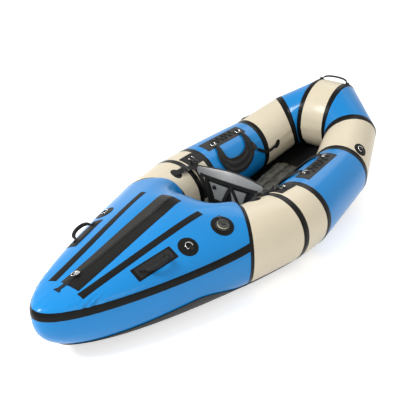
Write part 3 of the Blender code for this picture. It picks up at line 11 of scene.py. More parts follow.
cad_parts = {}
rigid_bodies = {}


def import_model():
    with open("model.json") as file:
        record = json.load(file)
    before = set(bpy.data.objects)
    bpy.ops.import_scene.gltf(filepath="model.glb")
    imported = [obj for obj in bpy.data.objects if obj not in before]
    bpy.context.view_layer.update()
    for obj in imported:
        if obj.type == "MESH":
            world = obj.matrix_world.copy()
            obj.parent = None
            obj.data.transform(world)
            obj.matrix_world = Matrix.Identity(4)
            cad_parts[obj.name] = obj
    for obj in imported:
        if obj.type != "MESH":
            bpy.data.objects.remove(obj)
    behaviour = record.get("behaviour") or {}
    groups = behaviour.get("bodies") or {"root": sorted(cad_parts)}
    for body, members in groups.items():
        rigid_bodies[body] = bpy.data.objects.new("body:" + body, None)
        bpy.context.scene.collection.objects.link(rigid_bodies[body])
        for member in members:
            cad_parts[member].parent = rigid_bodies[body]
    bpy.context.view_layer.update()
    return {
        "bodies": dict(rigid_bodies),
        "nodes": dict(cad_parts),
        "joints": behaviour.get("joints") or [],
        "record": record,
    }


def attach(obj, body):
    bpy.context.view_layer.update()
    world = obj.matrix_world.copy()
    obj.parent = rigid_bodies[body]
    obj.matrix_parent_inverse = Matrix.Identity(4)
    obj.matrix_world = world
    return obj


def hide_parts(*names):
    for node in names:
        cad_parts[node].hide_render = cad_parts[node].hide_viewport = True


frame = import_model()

# Camera, worked out from the seam rings of the tube
IMAGE_SIZE = 416
FOCAL_PIXELS = 704.61
SENSOR = 36.0
CAMERA_SPOT = Vector((-2.397, -1.7362, 1.7867))
CAMERA_YAW = 37.486
CAMERA_PITCH = 28.633
CAMERA_ROLL = -0.413

# Overall sizes and fabric walls
HALF_LENGTH = 1.168
PANEL_WALL = 0.0010
TAPE_STAND = 0.0015
TUBE_BASE = 0.0052
TAPE_HALF_WIDTH = 0.018
TAPE_WALL = 0.0009
TAPE_SHARE_LIMIT = 0.4

# How tapes lie: share of the wall at their edges, lift over the cloth, rise over a seam, gap below
TAPE_EDGE = 0.35
TAPE_LIFT = 0.0002
SEAM_RISE = 0.0004
UNDER_LIFT = 0.0001
BELT_COLUMNS = 12
BELT_STEPS = 9

# Seam rings from the stern to the bow: x, y, lift, radius, yaw, tilt, angle of the first column
RINGS = (
    (-0.235, 0.261, 0.0, 0.168, -41.5, 0.0, 28.0),
    (-0.008, 0.302, 0.0, 0.163, -5.0, 0.0, 14.0),
    (0.152, 0.313, 0.0, 0.162, 3.5, 0.0, 0.0),
    (0.610, 0.284, 0.053, 0.144, 10.5, 5.0, 0.0),
    (0.872, 0.200, 0.148, 0.140, 41.0, 19.5, 0.0),
    (0.9815, 0.082, 0.152, 0.185, 90.0, 0.0, 0.0),
)
BELT_RISE_ANGLE = 28.0
STERN_TIP_Z = 0.242
STERN_TIP_HALF_HEIGHT = 0.062
STERN_TIP_BLUNT = 0.165
STERN_SIDE_LEAD = 0.04
STERN_KEEL_RISE = 0.02
STERN_TOP_POWER = 2.4
STERN_BOTTOM_POWER = 3.1
STERN_FADE_POWER = 0.55
STERN_DECK_POWER = 1.7
COAMING_X = -0.207
COAMING_HALF_HEIGHT = 0.31
COAMING_ROUND = 0.177

# Counts: fine columns to one column of the frame's hull, and rows
FINE = 4
COLUMNS = 24 * FINE
QUARTER = COLUMNS // 4
HALF = COLUMNS // 2
FAN_ROWS = 140
PANEL_ROWS = 20
TAPE_ROWS = 3
ARC_SAMPLES = 160

FLIP = np.array((1.0, -1.0, 1.0))
UP = Vector((0.0, 0.0, 1.0))

# Edges sharper than these angles stay sharp, and points nearer than this are one
SHARP_ANGLE = 38.0
SHARP_ANGLE_SMALL = 50.0
WELD = 1e-6

rng = np.random.default_rng(7)


def unit(v):
    return v / np.maximum(np.linalg.norm(v, axis=-1, keepdims=True), 1e-12)


def part_way(a, b, share):
    """From a to b by a share."""
    return a * (1.0 - share) + b * share


# Finishes


def new_material(name, colour, roughness, metallic=0.0):
    """A plain finish, its nodes and its shader."""
    made = bpy.data.materials.new(name)
    made.use_nodes = True
    tree = made.node_tree
    shader = tree.nodes["Principled BSDF"]
    shader.inputs["Base Color"].default_value = (*colour, 1.0)
    shader.inputs["Roughness"].default_value = roughness
    shader.inputs["Metallic"].default_value = metallic
    return made, tree, shader


def add_node(tree, kind, **values):
    """A node with some inputs or settings given."""
    made = tree.nodes.new(kind)
    for key, value in values.items():
        if key in made.inputs:
            made.inputs[key].default_value = value
        else:
            setattr(made, key, value)
    return made


def noise_on(tree, source, scale, detail=3.0, rough=0.55):
    """Cloudy noise over a map, from 0 to 1."""
    made = add_node(tree, "ShaderNodeTexNoise", Scale=scale, Detail=detail, Roughness=rough)
    tree.links.new(source, made.inputs["Vector"])
    return made.outputs["Fac"]


def value_range(tree, source, low, high, out_low=0.0, out_high=1.0):
    """One range of values stretched to another."""
    made = add_node(tree, "ShaderNodeMapRange", **{"From Min": low, "From Max": high, "To Min": out_low,
                                                   "To Max": out_high})
    tree.links.new(source, made.inputs["Value"])
    return made.outputs["Result"]


def ramp(tree, source, low, high, colour_low, colour_high):
    """Two colours mixed by a value between a low and a high."""
    mix = tree.nodes.new("ShaderNodeMix")
    mix.data_type = "RGBA"
    mix.inputs[6].default_value = (*colour_low, 1.0)
    mix.inputs[7].default_value = (*colour_high, 1.0)
    tree.links.new(value_range(tree, source, low, high), mix.inputs[0])
    return mix.outputs[2]


WAVE_PERIODS = 3.1831
RIB_ANGLE = 35.0


def waves(tree, source, pitch, direction):
    """Parallel threads at a pitch in metres, across one direction of a map in metres."""
    made = add_node(tree, "ShaderNodeTexWave", bands_direction=direction, wave_profile="SIN",
                    Scale=1.0 / (WAVE_PERIODS * pitch), Distortion=0.0)
    tree.links.new(source, made.inputs["Vector"])
    return made.outputs["Fac"]


def math_of(tree, operation, a, b):
    """One sum of two values, each a number or an output."""
    made = add_node(tree, "ShaderNodeMath", operation=operation)
    for socket, value in zip(made.inputs, (a, b)):
        if isinstance(value, float):
            socket.default_value = value
        else:
            tree.links.new(value, socket)
    return made.outputs[0]


def bump(tree, shader, height, distance, before=None):
    """Relief in metres, on top of an earlier one if it is given."""
    made = add_node(tree, "ShaderNodeBump", Distance=distance, Strength=1.0)
    tree.links.new(height, made.inputs["Height"])
    if before is not None:
        tree.links.new(before, made.inputs["Normal"])
    tree.links.new(made.outputs["Normal"], shader.inputs["Normal"])
    return made.outputs["Normal"]


def fabric(name, colour, roughness, tone=0.10, pitch=0.0011, depth=0.00006, dent=0.0, coat=0.0,
           coat_roughness=0.2, spread=0.10, specular=0.5):
    """Woven cloth with or without a coating: threads, soft tone changes and uneven gloss."""
    made, tree, shader = new_material(name, colour, roughness)
    where = tree.nodes.new("ShaderNodeTexCoord")
    place, flat = where.outputs["Object"], where.outputs["UV"]
    broad = noise_on(tree, place, 5.0)
    fine = noise_on(tree, place, 90.0, 5.0, 0.65)
    mixed = math_of(tree, "ADD", math_of(tree, "MULTIPLY", broad, 0.7), math_of(tree, "MULTIPLY", fine, 0.3))
    dark, light = [c * (1.0 - tone) for c in colour], [min(1.0, c * (1.0 + tone)) for c in colour]
    tree.links.new(ramp(tree, mixed, 0.35, 0.65, dark, light), shader.inputs["Base Color"])
    tree.links.new(value_range(tree, mixed, 0.3, 0.7, roughness - spread, roughness + spread),
                   shader.inputs["Roughness"])
    normal = None
    if depth > 0.0:
        weave = math_of(tree, "MAXIMUM", waves(tree, flat, pitch, "X"), waves(tree, flat, pitch, "Y"))
        normal = bump(tree, shader, weave, depth)
    if dent > 0.0:
        bump(tree, shader, noise_on(tree, place, 14.0, 1.0), dent, normal)
    shader.inputs["Coat Weight"].default_value = coat
    shader.inputs["Coat Roughness"].default_value = coat_roughness
    shader.inputs["Specular IOR Level"].default_value = specular
    return made


def cushion_cloth(name, colour, roughness):
    """Coated cloth without a drawn map: fine grain, small dents and uneven gloss from object space."""
    made, tree, shader = new_material(name, colour, roughness)
    place = tree.nodes.new("ShaderNodeTexCoord").outputs["Object"]
    broad, grain = noise_on(tree, place, 9.0), noise_on(tree, place, 600.0, 4.0, 0.7)
    tree.links.new(ramp(tree, broad, 0.3, 0.7, [c * 0.75 for c in colour], [c * 1.25 for c in colour]),
                   shader.inputs["Base Color"])
    tree.links.new(value_range(tree, broad, 0.3, 0.7, roughness - 0.1, roughness + 0.1),
                   shader.inputs["Roughness"])
    normal = bump(tree, shader, grain, 0.00012)
    bump(tree, shader, noise_on(tree, place, 34.0, 2.5), 0.0016, normal)
    return made


def webbing(name, colour, roughness=0.62):
    """Narrow woven tape: diagonal ribs of a herringbone and thread ends at the sides."""
    made, tree, shader = new_material(name, colour, roughness)
    flat = tree.nodes.new("ShaderNodeTexCoord").outputs["UV"]
    turn = add_node(tree, "ShaderNodeMapping", Rotation=(0.0, 0.0, math.radians(RIB_ANGLE)))
    tree.links.new(flat, turn.inputs["Vector"])
    ribs = waves(tree, turn.outputs["Vector"], 0.0016, "X")
    cross = waves(tree, flat, 0.0011, "Y")
    weave = math_of(tree, "ADD", math_of(tree, "MULTIPLY", ribs, 0.65),
                    math_of(tree, "MULTIPLY", cross, 0.35))
    light = [min(1.0, c * 1.8 + 0.003) for c in colour]
    tree.links.new(ramp(tree, weave, 0.1, 0.9, colour, light), shader.inputs["Base Color"])
    bump(tree, shader, weave, 0.00035)
    shader.inputs["Specular IOR Level"].default_value = 0.25
    return made


def moulded(name, colour, roughness, metallic=0.0, grain=0.00004, scratch=0.08, coat=0.0):
    """Moulded plastic, rubber or polished metal, with fine grain and handling marks."""
    made, tree, shader = new_material(name, colour, roughness, metallic)
    place = tree.nodes.new("ShaderNodeTexCoord").outputs["Object"]
    broad, fine = noise_on(tree, place, 60.0), noise_on(tree, place, 900.0, 4.0)
    tree.links.new(value_range(tree, broad, 0.3, 0.7, max(0.04, roughness - scratch), roughness + scratch),
                   shader.inputs["Roughness"])
    dark, light = [c * 0.86 for c in colour], [min(1.0, c * 1.12) for c in colour]
    tree.links.new(ramp(tree, fine, 0.3, 0.7, dark, light), shader.inputs["Base Color"])
    bump(tree, shader, fine, grain)
    shader.inputs["Coat Weight"].default_value = coat
    return made


def speckled(name, colour, flecks):
    """Dark moulded plastic with light flecks worn through its grain."""
    made, tree, shader = new_material(name, colour, 0.42)
    place = tree.nodes.new("ShaderNodeTexCoord").outputs["Object"]
    spots = noise_on(tree, place, 330.0, 2.0, 0.5)
    tree.links.new(ramp(tree, spots, 0.63, 0.69, colour, flecks), shader.inputs["Base Color"])
    bump(tree, shader, spots, 0.0002)
    return made


def open_mesh(name, colour, pitch):
    """Open knit mesh: dark holes between light threads."""
    made, tree, shader = new_material(name, colour, 0.75)
    flat = tree.nodes.new("ShaderNodeTexCoord").outputs["UV"]
    cells = add_node(tree, "ShaderNodeTexVoronoi", feature="F1", distance="EUCLIDEAN", Scale=1.0 / pitch,
                     Randomness=0.0)
    tree.links.new(flat, cells.inputs["Vector"])
    dots = cells.outputs["Distance"]
    hole = [c * 0.12 for c in colour]
    tree.links.new(ramp(tree, dots, 0.28, 0.40, hole, colour), shader.inputs["Base Color"])
    bump(tree, shader, value_range(tree, dots, 0.2, 0.5), 0.0004)
    return made


BLUE = (0.004, 0.230, 0.600)
BEIGE = (0.700, 0.615, 0.455)
LOOKS = {
    "blue": fabric("blue_coated_nylon", BLUE, 0.30, 0.03, 0.0011, 0.0, 0.0003, 0.22, 0.08, 0.03, 0.18),
    "beige": fabric("beige_coated_nylon", BEIGE, 0.40, 0.03, 0.0011, 0.0, 0.0003, 0.18, 0.09, 0.03, 0.30),
    "tape": fabric("black_seam_tape", (0.006, 0.006, 0.0055), 0.32, 0.2, 0.0011, 0.0, 0.0006, 0.06, 0.05,
                   specular=0.08),
    "floor": fabric("black_floor_cloth", (0.007, 0.007, 0.007), 0.50, 0.25, 0.0018, 0.00004, dent=0.0008,
                    specular=0.25),
    "silver": fabric("silver_cloth", (0.215, 0.220, 0.217), 0.40, 0.08, 0.0012, 0.00003, 0.0008, 0.06, 0.20),
    "patch": fabric("patch_cloth", (0.0065, 0.0065, 0.006), 0.42, 0.25, 0.0014, 0.00004, dent=0.0004,
                    specular=0.12),
    "zip_light": fabric("zip_flap_cloth", (0.024, 0.023, 0.020), 0.50, 0.30, 0.0020, 0.00006, dent=0.0006,
                        specular=0.3),
    "webbing": webbing("black_webbing", (0.006, 0.006, 0.006)),
    "thread": moulded("black_thread", (0.022, 0.022, 0.022), 0.6),
    "metal": moulded("polished_steel", (0.70, 0.70, 0.68), 0.18, 1.0, 0.00001, 0.07),
    "plastic": moulded("black_moulded_plastic", (0.010, 0.010, 0.010), 0.32, coat=0.1),
    "cream": moulded("cream_moulded_plastic", (0.560, 0.545, 0.370), 0.34, coat=0.1),
    "cap": speckled("speckled_cap_plastic", (0.014, 0.014, 0.012), (0.42, 0.41, 0.30)),
    "coil": moulded("zip_coil_plastic", (0.008, 0.008, 0.008), 0.5),
    "seat_cover": cushion_cloth("seat_cover_cloth", (0.040, 0.038, 0.027), 0.42),
    "lace_patch": fabric("lacing_patch_cloth", (0.026, 0.025, 0.023), 0.50, 0.20, 0.0014, 0.00004,
                         dent=0.0003, specular=0.2),
    "thigh": fabric("thigh_pad_cloth", (0.008, 0.008, 0.008), 0.50, 0.25, 0.0012, 0.00005, dent=0.0010,
                    specular=0.2),
    "mesh": open_mesh("dark_open_mesh", (0.036, 0.035, 0.032), 0.004),
    "binding": fabric("black_binding", (0.008, 0.008, 0.008), 0.50, 0.2, 0.0010, 0.00006, specular=0.3),
}


# Meshes from grids


def placed(name, data):
    """A new object in the scene."""
    made = bpy.data.objects.new(name, data)
    bpy.context.scene.collection.objects.link(made)
    return made


def grid_faces(rows, cols, wrap, offset=0, turn=False):
    """Faces of a grid, closed round its columns if it wraps."""
    faces = []
    for r in range(rows - 1):
        for c in range(cols if wrap else cols - 1):
            a, b = r * cols + c, r * cols + (c + 1) % cols
            face = (offset + a, offset + b, offset + b + cols, offset + a + cols)
            faces.append(face[::-1] if turn else face)
    return faces


def finish_mesh(name, points, faces, look, uvs=None):
    """A welded and shaded piece from points and faces."""
    mesh = bpy.data.meshes.new(name)
    mesh.from_pydata([tuple(p) for p in points], [], faces)
    if uvs is not None:
        layer = mesh.uv_layers.new(name="UVMap")
        ids = np.zeros(len(mesh.loops), np.int64)
        mesh.loops.foreach_get("vertex_index", ids)
        layer.data.foreach_set("uv", np.asarray(uvs, np.float32)[ids].ravel())
    build = bmesh.new()
    build.from_mesh(mesh)
    bmesh.ops.remove_doubles(build, verts=build.verts, dist=WELD)
    bmesh.ops.dissolve_degenerate(build, edges=build.edges, dist=WELD)
    bmesh.ops.recalc_face_normals(build, faces=build.faces)
    build.to_mesh(mesh)
    build.free()
    mesh.shade_smooth()
    mesh.set_sharp_from_angle(angle=math.radians(SHARP_ANGLE))
    mesh.materials.append(LOOKS[look])
    return placed(name, mesh)


def row_lengths(points, axis):
    """Length walked along one axis of a grid."""
    steps = np.linalg.norm(np.diff(points, axis=axis), axis=-1)
    return np.concatenate([np.zeros_like(np.take(steps, [0], axis)), np.cumsum(steps, axis)], axis)


def along_line(goals, lengths, line):
    """Points of a line, or values that go with them, at lengths along it."""
    return np.stack([np.interp(goals, lengths, line[:, k]) for k in range(line.shape[1])], -1)


def slab(name, top, bottom, look, wrap=False, seam=False):
    """Closed sheet between two grids, its map in metres; with a seam its first and last columns are one."""
    rows, cols, _ = top.shape
    uvs = np.stack([row_lengths(top, 0), row_lengths(top, 1)], -1).reshape(-1, 2)
    points = np.concatenate([top.reshape(-1, 3), bottom.reshape(-1, 3)])
    under = rows * cols
    faces = grid_faces(rows, cols, wrap) + grid_faces(rows, cols, wrap, under, True)
    for r in (0, rows - 1):
        for c in range(cols if wrap else cols - 1):
            a, b = r * cols + c, r * cols + (c + 1) % cols
            faces.append((a, under + a, under + b, b))
    if not wrap and not seam:
        for r in range(rows - 1):
            for c in (0, cols - 1):
                a = r * cols + c
                faces.append((a, a + cols, under + a + cols, under + a))
    return finish_mesh(name, points, faces, look, np.concatenate([uvs, uvs]))


def rows_of(vectors, count):
    """One vector for all points, or one for each, as rows of numbers."""
    if isinstance(vectors, (Vector, tuple)):
        vectors = [vectors] * count
    return np.asarray([tuple(v) for v in vectors], float)


def tube_mesh(name, spine, ups, sections, look, closed=False, acrosses=None):
    """Rod or band: one outline, or sections(k) at spine point k, as (across, over) pairs.

    The over side is turned to ups, or the across side is turned to acrosses.
    """
    spine = np.asarray([tuple(p) for p in spine], float)
    count = len(spine)
    if closed:
        ahead, behind = np.roll(spine, -1, 0), np.roll(spine, 1, 0)
    else:
        ahead = np.concatenate([spine[1:], spine[-1:]])
        behind = np.concatenate([spine[:1], spine[:-1]])
    along = unit(ahead - behind)
    if acrosses is None:
        across = unit(np.cross(along, rows_of(ups, count)))
    else:
        side = rows_of(acrosses, count)
        across = unit(side - along * (side * along).sum(-1, keepdims=True))
    over = np.cross(across, along)
    outline = np.asarray([sections(k) if callable(sections) else sections for k in range(count)], float)
    points = spine[:, None] + across[:, None] * outline[..., :1] + over[:, None] * outline[..., 1:]
    cols = outline.shape[1]
    lengths, girth = row_lengths(spine, 0)[:, None], row_lengths(outline[count // 2], 0)[None]
    uvs = np.stack(np.broadcast_arrays(lengths, girth), -1)
    faces = grid_faces(count, cols, True)
    last = (count - 1) * cols
    if closed:
        faces += [(last + c, last + (c + 1) % cols, (c + 1) % cols, c) for c in range(cols)]
    else:
        faces.append(tuple(reversed(range(cols))))
        faces.append(tuple(last + c for c in range(cols)))
    return finish_mesh(name, points.reshape(-1, 3), faces, look, uvs.reshape(-1, 2))


def round_outline(half_width, half_height, sides=12):
    """Round or oval outline of a rod."""
    turns = 2.0 * math.pi * (np.arange(sides) + 0.5) / sides
    return np.stack([half_width * np.cos(turns), half_height * np.sin(turns)], -1)


def band_outline(half_width, half_wall, edge=0.25):
    """Flat band with rounded sides, thickest in the middle."""
    side = half_width - half_wall * 0.6
    top = [(x * side, half_wall * (1.0 - edge * x * x)) for x in (-1.0, -0.5, 0.0, 0.5, 1.0)]
    return [(-half_width, 0.0)] + top + [(half_width, 0.0)] + [(x, -y) for x, y in reversed(top)]


# Hull surface


def ring_axes(yaw, tilt=0.0):
    """Outward, forward and upward directions of a ring."""
    heading, lift = math.radians(yaw), math.radians(tilt)
    outward = np.array((math.sin(heading), -math.cos(heading), 0.0))
    forward = np.array((math.cos(heading), math.sin(heading), 0.0))
    return outward, forward, np.array((0.0, 0.0, math.cos(lift))) - forward * math.sin(lift)


def quadrants(first):
    """Angles where the quarters of a section meet."""
    return [first, math.pi / 2.0, math.pi, 3.0 * math.pi / 2.0, 2.0 * math.pi + first]


def ring_section(x, y, lift, radius, yaw, tilt, start):
    """Starboard tube's section at a seam ring: points and normals at every fine column."""
    outward, _, upward = ring_axes(yaw, tilt)
    centre = np.array((x, -y, TUBE_BASE + radius + lift))
    corners = quadrants(math.radians(start))
    turns = np.concatenate([np.linspace(a, b, QUARTER, endpoint=False) for a, b in zip(corners, corners[1:])])
    normals = outward * np.cos(turns)[:, None] + upward * np.sin(turns)[:, None]
    return centre + normals * radius, normals


def bezier(p0, p1, p2, p3, t):
    s = 1.0 - t
    return p0 * s**3 + p1 * (3.0 * s * s * t) + p2 * (3.0 * s * t * t) + p3 * t**3


def fan_section(t):
    """Section of the stern block, from the middle of the boat at 0 to the starboard aft ring at 1."""
    x, y, lift, radius, yaw, _, _ = RINGS[0]
    outward, forward, _ = ring_axes(yaw)
    centre = np.array((x, -y, 0.0))
    outer_end, inner_end = centre + outward * radius, centre - outward * radius
    tip = np.array((TAPE_STAND - HALF_LENGTH, 0.0, 0.0))
    wall = np.array((COAMING_X, 0.0, 0.0))
    side = np.array((0.0, 1.0, 0.0))
    outer = bezier(tip, tip - side * STERN_TIP_BLUNT, outer_end - forward * STERN_SIDE_LEAD, outer_end, t)
    inner = bezier(wall, wall - side * COAMING_ROUND, inner_end, inner_end, t)
    fade = (1.0 - t) ** STERN_FADE_POWER
    ring_height = TUBE_BASE + radius + lift
    fall = 1.0 + (STERN_DECK_POWER - 1.0) * fade
    outer_z = part_way(ring_height, STERN_TIP_Z, fade)
    top_power = 2.0 + (STERN_TOP_POWER - 2.0) * fade
    low_power = 2.0 + (STERN_BOTTOM_POWER - 2.0) * fade

    def curve(angles):
        rho = np.cos(angles)
        above = np.sin(angles) >= -1e-9
        power = np.where(above, top_power, low_power)
        rise = np.maximum(0.0, 1.0 - np.abs(rho) ** power) ** (1.0 / power)
        share = (rho + 1.0) / 2.0
        middle = part_way(ring_height, outer_z, share)
        crown = STERN_TIP_HALF_HEIGHT + (COAMING_HALF_HEIGHT - STERN_TIP_HALF_HEIGHT) * (1.0 - share) ** fall
        base = TUBE_BASE + lift * (1.0 - fade) + STERN_KEEL_RISE * fade * share * share
        z = np.where(above, middle + part_way(radius, crown, fade) * rise, middle - (middle - base) * rise)
        flat = part_way(inner, outer, share[:, None])
        return np.stack([flat[:, 0], flat[:, 1], z], -1)

    corners = quadrants(math.radians(BELT_RISE_ANGLE) * t * t)
    points = []
    for a, b in zip(corners, corners[1:]):
        line = curve(np.linspace(a, b, ARC_SAMPLES))
        lengths = row_lengths(line, 0)
        points.append(along_line(np.linspace(0.0, lengths[-1], QUARTER, endpoint=False), lengths, line))
    return np.concatenate(points)


def rising(distance, reach):
    """1 at a distance of one reach, falling to both sides."""
    return distance / reach * np.exp(1.0 - distance / reach)


def wrapped(values):
    """Columns with a neighbour more at each end."""
    return np.concatenate([values[:, -1:], values, values[:, :1]], 1)


def grid_normals(points, hint):
    """Normals of a grid whose columns go all the way round, on the side of a hint point."""
    around = wrapped(points)[:, 2:] - wrapped(points)[:, :-2]
    along = np.gradient(points, axis=0)
    normals = unit(np.cross(around, along))
    centre = points.mean(1, keepdims=True) if hint is None else hint
    turn = np.sign((normals * (points - centre)).sum(-1).mean())
    return normals * turn


def ripple(positions, low, high, terms=7):
    """Smooth seeded wave of a few wavelengths, between -1 and 1."""
    total = np.zeros_like(positions)
    for _ in range(terms):
        wave = rng.uniform(low, high)
        total += rng.uniform(0.5, 1.0) * np.sin(2.0 * math.pi * positions / wave + rng.uniform(0.0, 6.28))
    return total / (0.6 * terms)


def tape_share(a, b):
    """Share of a panel's length that half a tape covers."""
    length = np.linalg.norm(b - a, axis=-1)
    return np.minimum(TAPE_HALF_WIDTH / length, TAPE_SHARE_LIMIT)


PUCKER = 0.0016
PUCKER_REACH = 0.030
PUCKER_WAVES = (0.030, 0.075)
PUCKER_LEAST = 0.25
PUCKER_LENGTH = 0.20
PUCKER_CLOSING = 12.0
INBOARD_TURN = 0.02
BULGE = 0.0030
BULGE_REACH = 0.05


def tube_grid(a, b):
    """Rows of one straight panel between two sections, drawn in and puckered at both seams."""
    first, last = tape_share(a, b), tape_share(b, a)
    shares = [first * k / TAPE_ROWS for k in range(TAPE_ROWS)]
    shares += [first + (1.0 - last - first) * s for s in np.linspace(0.0, 1.0, PANEL_ROWS + 1)]
    shares += [1.0 - last * (TAPE_ROWS - k) / TAPE_ROWS for k in range(1, TAPE_ROWS + 1)]
    shares = np.array(shares)
    points = part_way(a, b, shares[..., None])
    normals = grid_normals(points, None)
    length = np.linalg.norm(b - a, axis=-1)
    around = np.arange(COLUMNS) / COLUMNS
    inboard = 0.5 - 0.5 * np.cos(2.0 * math.pi * (around - INBOARD_TURN))
    near, far = shares * length, (1.0 - shares) * length
    bulge = BULGE * (1.0 - np.exp(-near / BULGE_REACH)) * (1.0 - np.exp(-far / BULGE_REACH))
    waves_near = ripple(around, *PUCKER_WAVES)
    waves_far = ripple(around, *PUCKER_WAVES)
    keep = np.clip(np.minimum(around, 1.0 - around) * PUCKER_CLOSING, 0.0, 1.0)
    size = PUCKER * (PUCKER_LEAST + inboard ** 3) * keep * np.clip(length / PUCKER_LENGTH, 0.0, 1.0) ** 2
    pucker = size * (waves_near * rising(near, PUCKER_REACH) + waves_far * rising(far, PUCKER_REACH))
    points = points + normals * (bulge + pucker)[..., None]
    return points, grid_normals(points, None)


BELT_VALLEY = 0.0022
BELT_VALLEY_REACH = 0.026
VALLEY_SHARE = 0.35
TIP_WRINKLE = 0.0012
TIP_WRINKLE_REACH = 0.055
TIP_REACH = 0.34
WRINKLE_END = 0.10
DECK_WAVES = (0.030, 0.070)
LOW_WAVES = (0.035, 0.090)
CREASE_LEAN = 0.25
CREASE_REACH = 0.034
CREASE_END = 0.075
CREASE_START = 0.05

# Creases from the stern belt up the deck: place along the belt, spread and height
STERN_CREASES = ((-0.205, 0.009, 0.0022), (-0.160, 0.010, 0.0026), (-0.060, 0.010, -0.0016),
                 (0.110, 0.009, 0.0018), (0.172, 0.008, 0.0034), (0.190, 0.006, -0.0030),
                 (0.208, 0.007, 0.0042), (0.228, 0.008, -0.0026), (0.262, 0.009, 0.0020))


def fan_grid(last_section):
    """Whole stern block, from the port aft ring round to the starboard one."""
    half = [fan_section(t) for t in np.linspace(0.0, 1.0, FAN_ROWS + 1)[:-1]]
    share = tape_share(last_section, half[-1])[:, None]
    for k in range(TAPE_ROWS, -1, -1):
        half.append(part_way(last_section, half[FAN_ROWS - 1], share * k / TAPE_ROWS))
    half = np.array(half)
    points = np.concatenate([half[:0:-1] * FLIP, half])
    centre = points.mean(1, keepdims=True)
    normals = grid_normals(points, centre)
    girth = row_lengths(wrapped(points)[:, 1:], 1)
    around, total = girth[:, :-1], girth[:, -1:]
    from_belt = np.minimum(around, total - around)
    edge = row_lengths(points[:, :1], 0)[:, 0]
    middle = edge[len(edge) // 2]
    near_tip = np.exp(-(np.abs(edge - middle)[:, None] / TIP_REACH) ** 2)
    on_deck = np.arange(COLUMNS)[None] < HALF
    valley = -BELT_VALLEY * np.exp(-(from_belt / BELT_VALLEY_REACH) ** 2)
    valley = valley * (VALLEY_SHARE + (1.0 - VALLEY_SHARE) * near_tip)
    wave_top = ripple(edge, *DECK_WAVES)[:, None]
    wave_low = ripple(edge, *LOW_WAVES)[:, None]
    wrinkle = TIP_WRINKLE * np.where(on_deck, wave_top, wave_low) * near_tip \
        * rising(from_belt, TIP_WRINKLE_REACH) * np.exp(-(from_belt / WRINKLE_END) ** 2)
    creases = np.zeros_like(wrinkle)
    for place, spread, size in STERN_CREASES:
        away = (edge - middle)[:, None] - place - CREASE_LEAN * (from_belt - CREASE_START)
        creases += size * np.exp(-(away / spread) ** 2) * rising(from_belt, CREASE_REACH) \
            * np.exp(-(from_belt / CREASE_END) ** 4) * on_deck
    points = points + normals * (valley + wrinkle + creases)[..., None]
    return points, grid_normals(points, centre)


SECTIONS = [ring_section(*ring)[0] for ring in RINGS]
FAN, FAN_NORMALS = fan_grid(SECTIONS[0])
PANELS = [tube_grid(a, b) for a, b in zip(SECTIONS, SECTIONS[1:])]
PANELS.append(tube_grid(SECTIONS[5], SECTIONS[5] * FLIP))
PANEL_NAMES = ("aft_tube_panel", "hip_tube_panel", "side_tube_panel", "quarter_tube_panel", "bow_wedge_panel")
PANEL_LOOKS = ("beige", "beige", "blue", "beige", "blue")


def dressed(piece, body, slot, *nodes):
    """A piece's body, its finish slot (not used) and the nodes that it stands for."""
    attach(piece, body)
    if nodes:
        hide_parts(*nodes)
    return piece


def mirrored(piece, name, *words):
    """Dress a starboard piece and add its port twin; {} in a word stands for the side."""
    dressed(piece, *(word.format("starboard") for word in words))
    mesh = piece.data.copy()
    mesh.transform(Matrix.Diagonal((1.0, -1.0, 1.0, 1.0)))
    mesh.flip_normals()
    return dressed(placed(name.format("port"), mesh), *(word.format("port") for word in words))


def closed_row(values):
    return np.concatenate([values, values[:, :1]], 1)


def panel_skin(name, look, points, normals):
    """One panel's cloth, all the way round the tube."""
    top = closed_row(points)
    return slab(name, top, top - closed_row(normals) * PANEL_WALL, look, seam=True)


def build_hull():
    full, full_normals = closed_row(FAN), closed_row(FAN_NORMALS)
    for name, start, end in (("stern_deck", 0, HALF), ("stern_lower_panel", HALF, COLUMNS)):
        columns = slice(start, end + 1)
        top = full[:, columns]
        piece = slab(name + "_skin", top, top - full_normals[:, columns] * PANEL_WALL, "blue")
        dressed(piece, "hull", "blue_fabric", name)
    for name, look, grid in zip(PANEL_NAMES, PANEL_LOOKS, PANELS):
        piece = panel_skin(name + "_starboard_skin", look, *grid)
        mirrored(piece, name + "_{}_skin", "hull", look + "_fabric", name + "_{}")
    piece = panel_skin("bow_centre_panel_skin", "beige", *PANELS[5])
    dressed(piece, "hull", "beige_fabric", "bow_centre_panel")


def tape_sides(points, normals, shape):
    """Upper and lower side of a tape over the hull, thinner at its two edges."""
    profile = np.full(max(shape), TAPE_WALL)
    profile[[0, -1]] *= TAPE_EDGE
    return points + normals * (profile.reshape(shape) + TAPE_LIFT), points + normals * UNDER_LIFT


